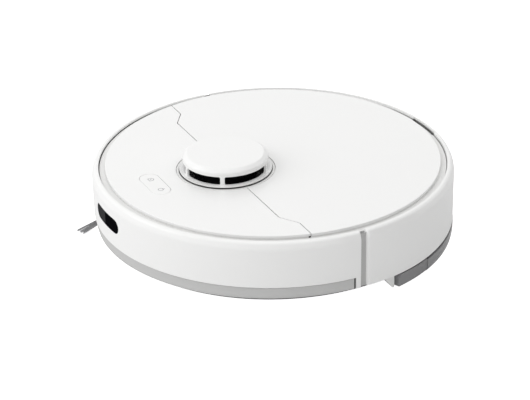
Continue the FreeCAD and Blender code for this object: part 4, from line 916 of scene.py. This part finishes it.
# ---- caster ---------------------------------------------------------------
# A small swivelling front wheel in a round pocket: one rubber roller on a steel axle,
# rounded at both rims and grooved round its middle.
caster_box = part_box("caster_wheel")
caster_mid = (caster_box[0] + caster_box[1]) * 500
caster_r = 14.0
caster_section = [(1.55, -7), (caster_r, -7, 3.0), (caster_r, -0.6), (caster_r - 0.8, -0.3),
                  (caster_r - 0.8, 0.3),
                  (caster_r, 0.6), (caster_r, 7, 3.0), (1.55, 7)]
caster = placed(turned("caster_roller", caster_section, steps=64), (0, 90, 0), caster_mid)
fitted(caster, "caster_wheel", tyre_rubber, "tyre", "caster_wheel", angle=30)
skin("caster_fork", "caster_swivel_fork", dark_textured, "dark_plastic", "caster_fork")

# ---- main brush -----------------------------------------------------------
# A cylinder brush across the mouth: a moulded core with three rubber blades and three rows
# of nylon tufts between them, broken where the guard's ribs pass over.
brush_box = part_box("main_brush_core")
brush_y = (brush_box[0].y + brush_box[1].y) * 500
brush_z = (brush_box[0].z + brush_box[1].z) * 500
brush_r = 16.5
core_r = 9.0
ribs = (-50.0, -17.0, 17.0, 50.0)
skin("main_brush_core", "main_brush_moulded_core", inner_grey, "inner_plastic", "main_brush")
blade_rubber = moulding("blade_rubber_dark", (0.05, 0.05, 0.055), 0.7, grain=1500.0, depth=0.3, mottle=0.1,
                        dust=0.1)
blade_spans = list(zip([-79.5] + [x + 2.6 for x in ribs], [x - 2.6 for x in ribs] + [79.5]))
blades = []
tufts = []
bpy.ops.object.select_all(action="DESELECT")
bpy.ops.mesh.primitive_cone_add(vertices=5, radius1=0.0007, radius2=0.0009, depth=0.0073,
                                location=(0, 0, 0.01255))
tuft = bpy.context.active_object
bpy.ops.object.transform_apply(location=True, rotation=True, scale=True)
bpy.ops.object.mode_set(mode="EDIT")
pick("faces", lambda f: f.normal.z > 0.9)
bpy.ops.mesh.inset(thickness=0.0002)
bpy.ops.transform.translate(value=(0, 0, 0.0002))
bpy.ops.object.mode_set(mode="OBJECT")
for i in range(6):
    for start, end in blade_spans:
        if i % 2 == 0:
            blade_outline = [(-1.1, core_r - 0.2), (1.1, core_r - 0.2), (0.7, core_r + 3),
                             (0.9, brush_r - 0.1, 0.4),
                             (-0.9, brush_r - 0.1, 0.4), (-0.7, core_r + 3)]
            blade = raised("blade", blade_outline, start, end, "YZ", 2)
            blades.append(placed(blade, (60 * i, 0, 0), (0, brush_y, brush_z)))
        else:
            count = int((end - start) / 1.9)
            for k in range(count):
                copy = bpy.data.objects.new("tuft_copy", tuft.data.copy())
                bpy.context.scene.collection.objects.link(copy)
                lean = Matrix.Rotation(math.radians(60 * i + random.uniform(-3, 3)), 4, "X")
                along = (start + 1.0 + k * (end - start - 2.0) / (count - 1)) / 1000
                copy.matrix_world = Matrix.Translation((along, brush_y / 1000, brush_z / 1000)) @ lean
                tufts.append(copy)
bpy.data.objects.remove(tuft)
fitted(gathered("main_brush_blades", blades), "main_brush", blade_rubber, "belt_rubber", "main_brush_fins")
fitted(gathered("main_brush_tufts", tufts), "main_brush", nylon_grey, "bristle")
skin("brush_guard", "brush_mouth_guard", dark_textured, "dark_plastic", "brush_guard")
skin("brush_housing", "brush_chamber", dark_textured, "dark_plastic", "chassis")
skin("brush_gearbox", "brush_drive_gearbox", inner_grey, "dark_plastic", "chassis")

# ---- chassis and underside ------------------------------------------------
# The black tub that carries everything, grained below, with its screws, cliff windows,
# plated charging contacts and battery door.
chassis_black = moulding("chassis_grained_black", (0.05, 0.05, 0.053), 0.6, grain=1100.0, depth=0.6,
                         mottle=0.08,
                         worn_and_highlight=0.3, dust=0.12)
steel = moulding("bright_steel", (0.62, 0.62, 0.62), 0.28, grain=2600.0, depth=0.15, mottle=0.08, metallic=1.0)
plated = moulding("plated_contact", (0.78, 0.72, 0.60), 0.18, grain=1800.0, depth=0.08, mottle=0.06, worn_and_highlight=0.2,
                  metallic=1.0)
window_dark = moulding("cliff_window_dark", (0.01, 0.008, 0.012), 0.08, grain=400.0, depth=0.02, mottle=0.3,
                       coat=0.5)
for node_name, piece_name, finish, slot_name in (
        ("chassis", "chassis_tub", chassis_black, "dark_plastic"),
        ("battery_cover", "battery_door", dark_textured, "dark_plastic"),
        ("chassis_screws", "chassis_screw_heads", steel, "steel"),
        ("cliff_windows", "cliff_sensor_windows", window_dark, "black_gloss"),
        ("charging_contacts", "charging_contact_plates", plated, "contact_metal"),
        ("exhaust_grille", "fan_outlet_grille", inner_grey, "dark_plastic"),
        ("lid_hinge_pins", "lid_hinge_pin_pair", steel, "steel"),
        ("arm_pivot_pins", "arm_pivot_pin_pair", steel, "steel"),
        ("arm_springs", "arm_torsion_springs", steel, "steel")):
    skin(node_name, piece_name, finish, slot_name, "chassis")

# ---- deck and dust bin ----------------------------------------------------
# Under the lid: the pale deck, and the smoked bin with its cover and pleated filter.
smoke_bin = smoked("smoked_clear_bin", (0.42, 0.42, 0.43), 0.12)
paper = moulding("filter_pleated_paper", (0.84, 0.83, 0.78), 0.9, grain=3000.0, depth=0.6, mottle=0.05,
                 dust=0.2)
for node_name, piece_name, finish, slot_name in (
        ("inner_deck", "deck_plate", pale_satin, "pale_trim"),
        ("dust_bin", "smoked_dust_bin", smoke_bin, "smoke_clear"),
        ("bin_cover", "smoked_bin_cover", smoke_bin, "smoke_clear"),
        ("bin_filter", "pleated_filter", paper, "filter_paper")):
    skin(node_name, piece_name, finish, slot_name, "chassis")

# ---- power and electronics ------------------------------------------------
# Battery, main board on its posts, speaker, fan and the small motors, all screwed or
# clipped inside the tub.
board_green = moulding("solder_mask_green", (0.015, 0.13, 0.05), 0.35, grain=1200.0, depth=0.1, mottle=0.15,
                       coat=0.2)
board_tree = board_green.node_tree
board_place = board_tree.nodes.new("ShaderNodeTexCoord")
traces = board_tree.nodes.new("ShaderNodeTexBrick")
traces.inputs["Scale"].default_value = 90.0
traces.inputs["Mortar Size"].default_value = 0.04
linked(board_tree, board_place, "Object", traces, "Vector")
overlay(board_green, (traces, "Fac"), (0.05, 0.30, 0.12))
cell_wrap = moulding("battery_wrap_blue", (0.03, 0.05, 0.12), 0.4, grain=800.0, depth=0.15, mottle=0.1,
                     worn_and_highlight=0.1)
motor_can = moulding("motor_can_zinc", (0.55, 0.55, 0.56), 0.35, grain=1500.0, depth=0.15, mottle=0.08,
                     metallic=1.0)
for node_name, piece_name, finish, slot_name in (
        ("battery_pack", "wrapped_battery", cell_wrap, "inner_plastic"),
        ("main_board", "control_board", board_green, "circuit_board"),
        ("board_posts", "board_standoffs", dark_textured, "dark_plastic"),
        ("speaker", "voice_speaker", dark_textured, "dark_plastic"),
        ("fan_housing", "fan_scroll", dark_textured, "dark_plastic")):
    skin(node_name, piece_name, finish, slot_name, "chassis")
skin("fan_rotor", "fan_impeller", inner_grey, "inner_plastic", "fan_rotor")
for node_name, piece_name, finish, slot_name in (
        ("lidar_motor", "turret_motor", motor_can, "dark_plastic"),
        ("side_brush_motor", "side_brush_gearbox", inner_grey, "dark_plastic"),
        ("lidar_belt", "turret_flat_belt", blade_rubber, "belt_rubber")):
    skin(node_name, piece_name, finish, slot_name, "chassis")

# ---- studio ---------------------------------------------------------------
# A bright seamless floor, an even pale sky, a soft box before the machine's nose and one
# above it, and a dark cloth flag out of sight beside its rear, which shades that side.


def studio_plane(name, size, place, facing, cuts):
    bpy.ops.object.select_all(action="DESELECT")
    bpy.ops.mesh.primitive_plane_add(size=size, location=place)
    plane = bpy.context.active_object
    plane.name = name
    plane.rotation_euler = Vector(facing).to_track_quat("Z", "Y").to_euler()
    bpy.ops.object.transform_apply(location=True, rotation=True, scale=True)
    bpy.ops.object.mode_set(mode="EDIT")
    bpy.ops.mesh.select_all(action="SELECT")
    bpy.ops.mesh.subdivide(number_cuts=cuts)
    bpy.ops.object.mode_set(mode="OBJECT")
    return plane


floor = studio_plane("studio_floor", 14, (0, 0, 0), (0, 0, 1), 6)
floor_paint = moulding("studio_floor_paint", (0.72, 0.72, 0.72), 0.85, grain=50.0, depth=0.0, mottle=0.002)
floor_tree = floor_paint.node_tree
floor_shader = floor_tree.nodes["Principled BSDF"]
floor_rays = floor_tree.nodes.new("ShaderNodeLightPath")
floor_glow = maths(floor_tree, "MULTIPLY_ADD", (floor_rays, "Is Camera Ray"), 0.95)
floor_glow.inputs[2].default_value = 0.10
linked(floor_tree, floor_glow, 0, floor_shader, "Emission Strength")
floor_shader.inputs["Emission Color"].default_value = (1.0, 1.0, 1.0, 1.0)
floor_side = floor_tree.nodes.new("ShaderNodeNewGeometry")
floor_shown = maths(floor_tree, "SUBTRACT", 1.0, (floor_side, "Backfacing"))
linked(floor_tree, floor_shown, 0, floor_shader, "Alpha")
floor.data.materials.append(floor_paint)

flag = studio_plane("studio_flag", 1.5, (1.15, 0.95, 0.55), (1.15, 0.95, 0.15), 4)
flag.visible_camera = False
flag.data.materials.append(moulding("studio_flag_cloth", (0.03, 0.03, 0.03), 0.95, grain=400.0, depth=0.2,
                                    mottle=0.1))

world = bpy.data.worlds.new("studio_sky")
bpy.context.scene.world = world
world.use_nodes = True
sky = world.node_tree.nodes["Background"]
sky.inputs["Color"].default_value = (1.0, 1.0, 1.0, 1.0)
sky.inputs["Strength"].default_value = 0.86

for light_name, light_place, light_size, light_power in (
        ("nose_softbox", (-0.6, -2.0, 1.3), 1.6, 11.0), ("top_softbox", (0.2, 0.2, 2.3), 1.8, 8.0)):
    lamp = bpy.data.lights.new(light_name, "AREA")
    lamp.size = light_size
    lamp.energy = light_power
    light = bpy.data.objects.new(light_name, lamp)
    light.location = light_place
    light.rotation_euler = (-Vector(light_place)).to_track_quat("-Z", "Y").to_euler()
    bpy.context.scene.collection.objects.link(light)

# ---- camera ---------------------------------------------------------------
# A long lens from the machine's left front, looking down a little, rolled by a degree.
camera_turn = math.radians(64.73)
camera_rise = math.radians(26.918)
camera_roll = math.radians(-1.073)
right = Vector((math.cos(camera_turn), math.sin(camera_turn), 0))
back = Vector((math.sin(camera_turn) * math.cos(camera_rise), -math.cos(camera_turn) * math.cos(camera_rise),
               math.sin(camera_rise)))
up = back.cross(right)
rolled_right = right * math.cos(camera_roll) + up * math.sin(camera_roll)
rolled_up = up * math.cos(camera_roll) - right * math.sin(camera_roll)
camera_data = bpy.data.cameras.new("studio_camera")
camera_data.sensor_width = 36.0
camera_data.lens = 149.9
camera_data.clip_start = 0.05
camera_data.clip_end = 60.0
camera = bpy.data.objects.new("studio_camera", camera_data)
camera.matrix_world = Matrix.Translation((1.73112, -0.82628, 1.00715)) @ Matrix(
    (rolled_right, rolled_up, back)).transposed().to_4x4()
bpy.context.scene.collection.objects.link(camera)
bpy.context.scene.camera = camera
bpy.context.scene.view_settings.view_transform = "Standard"
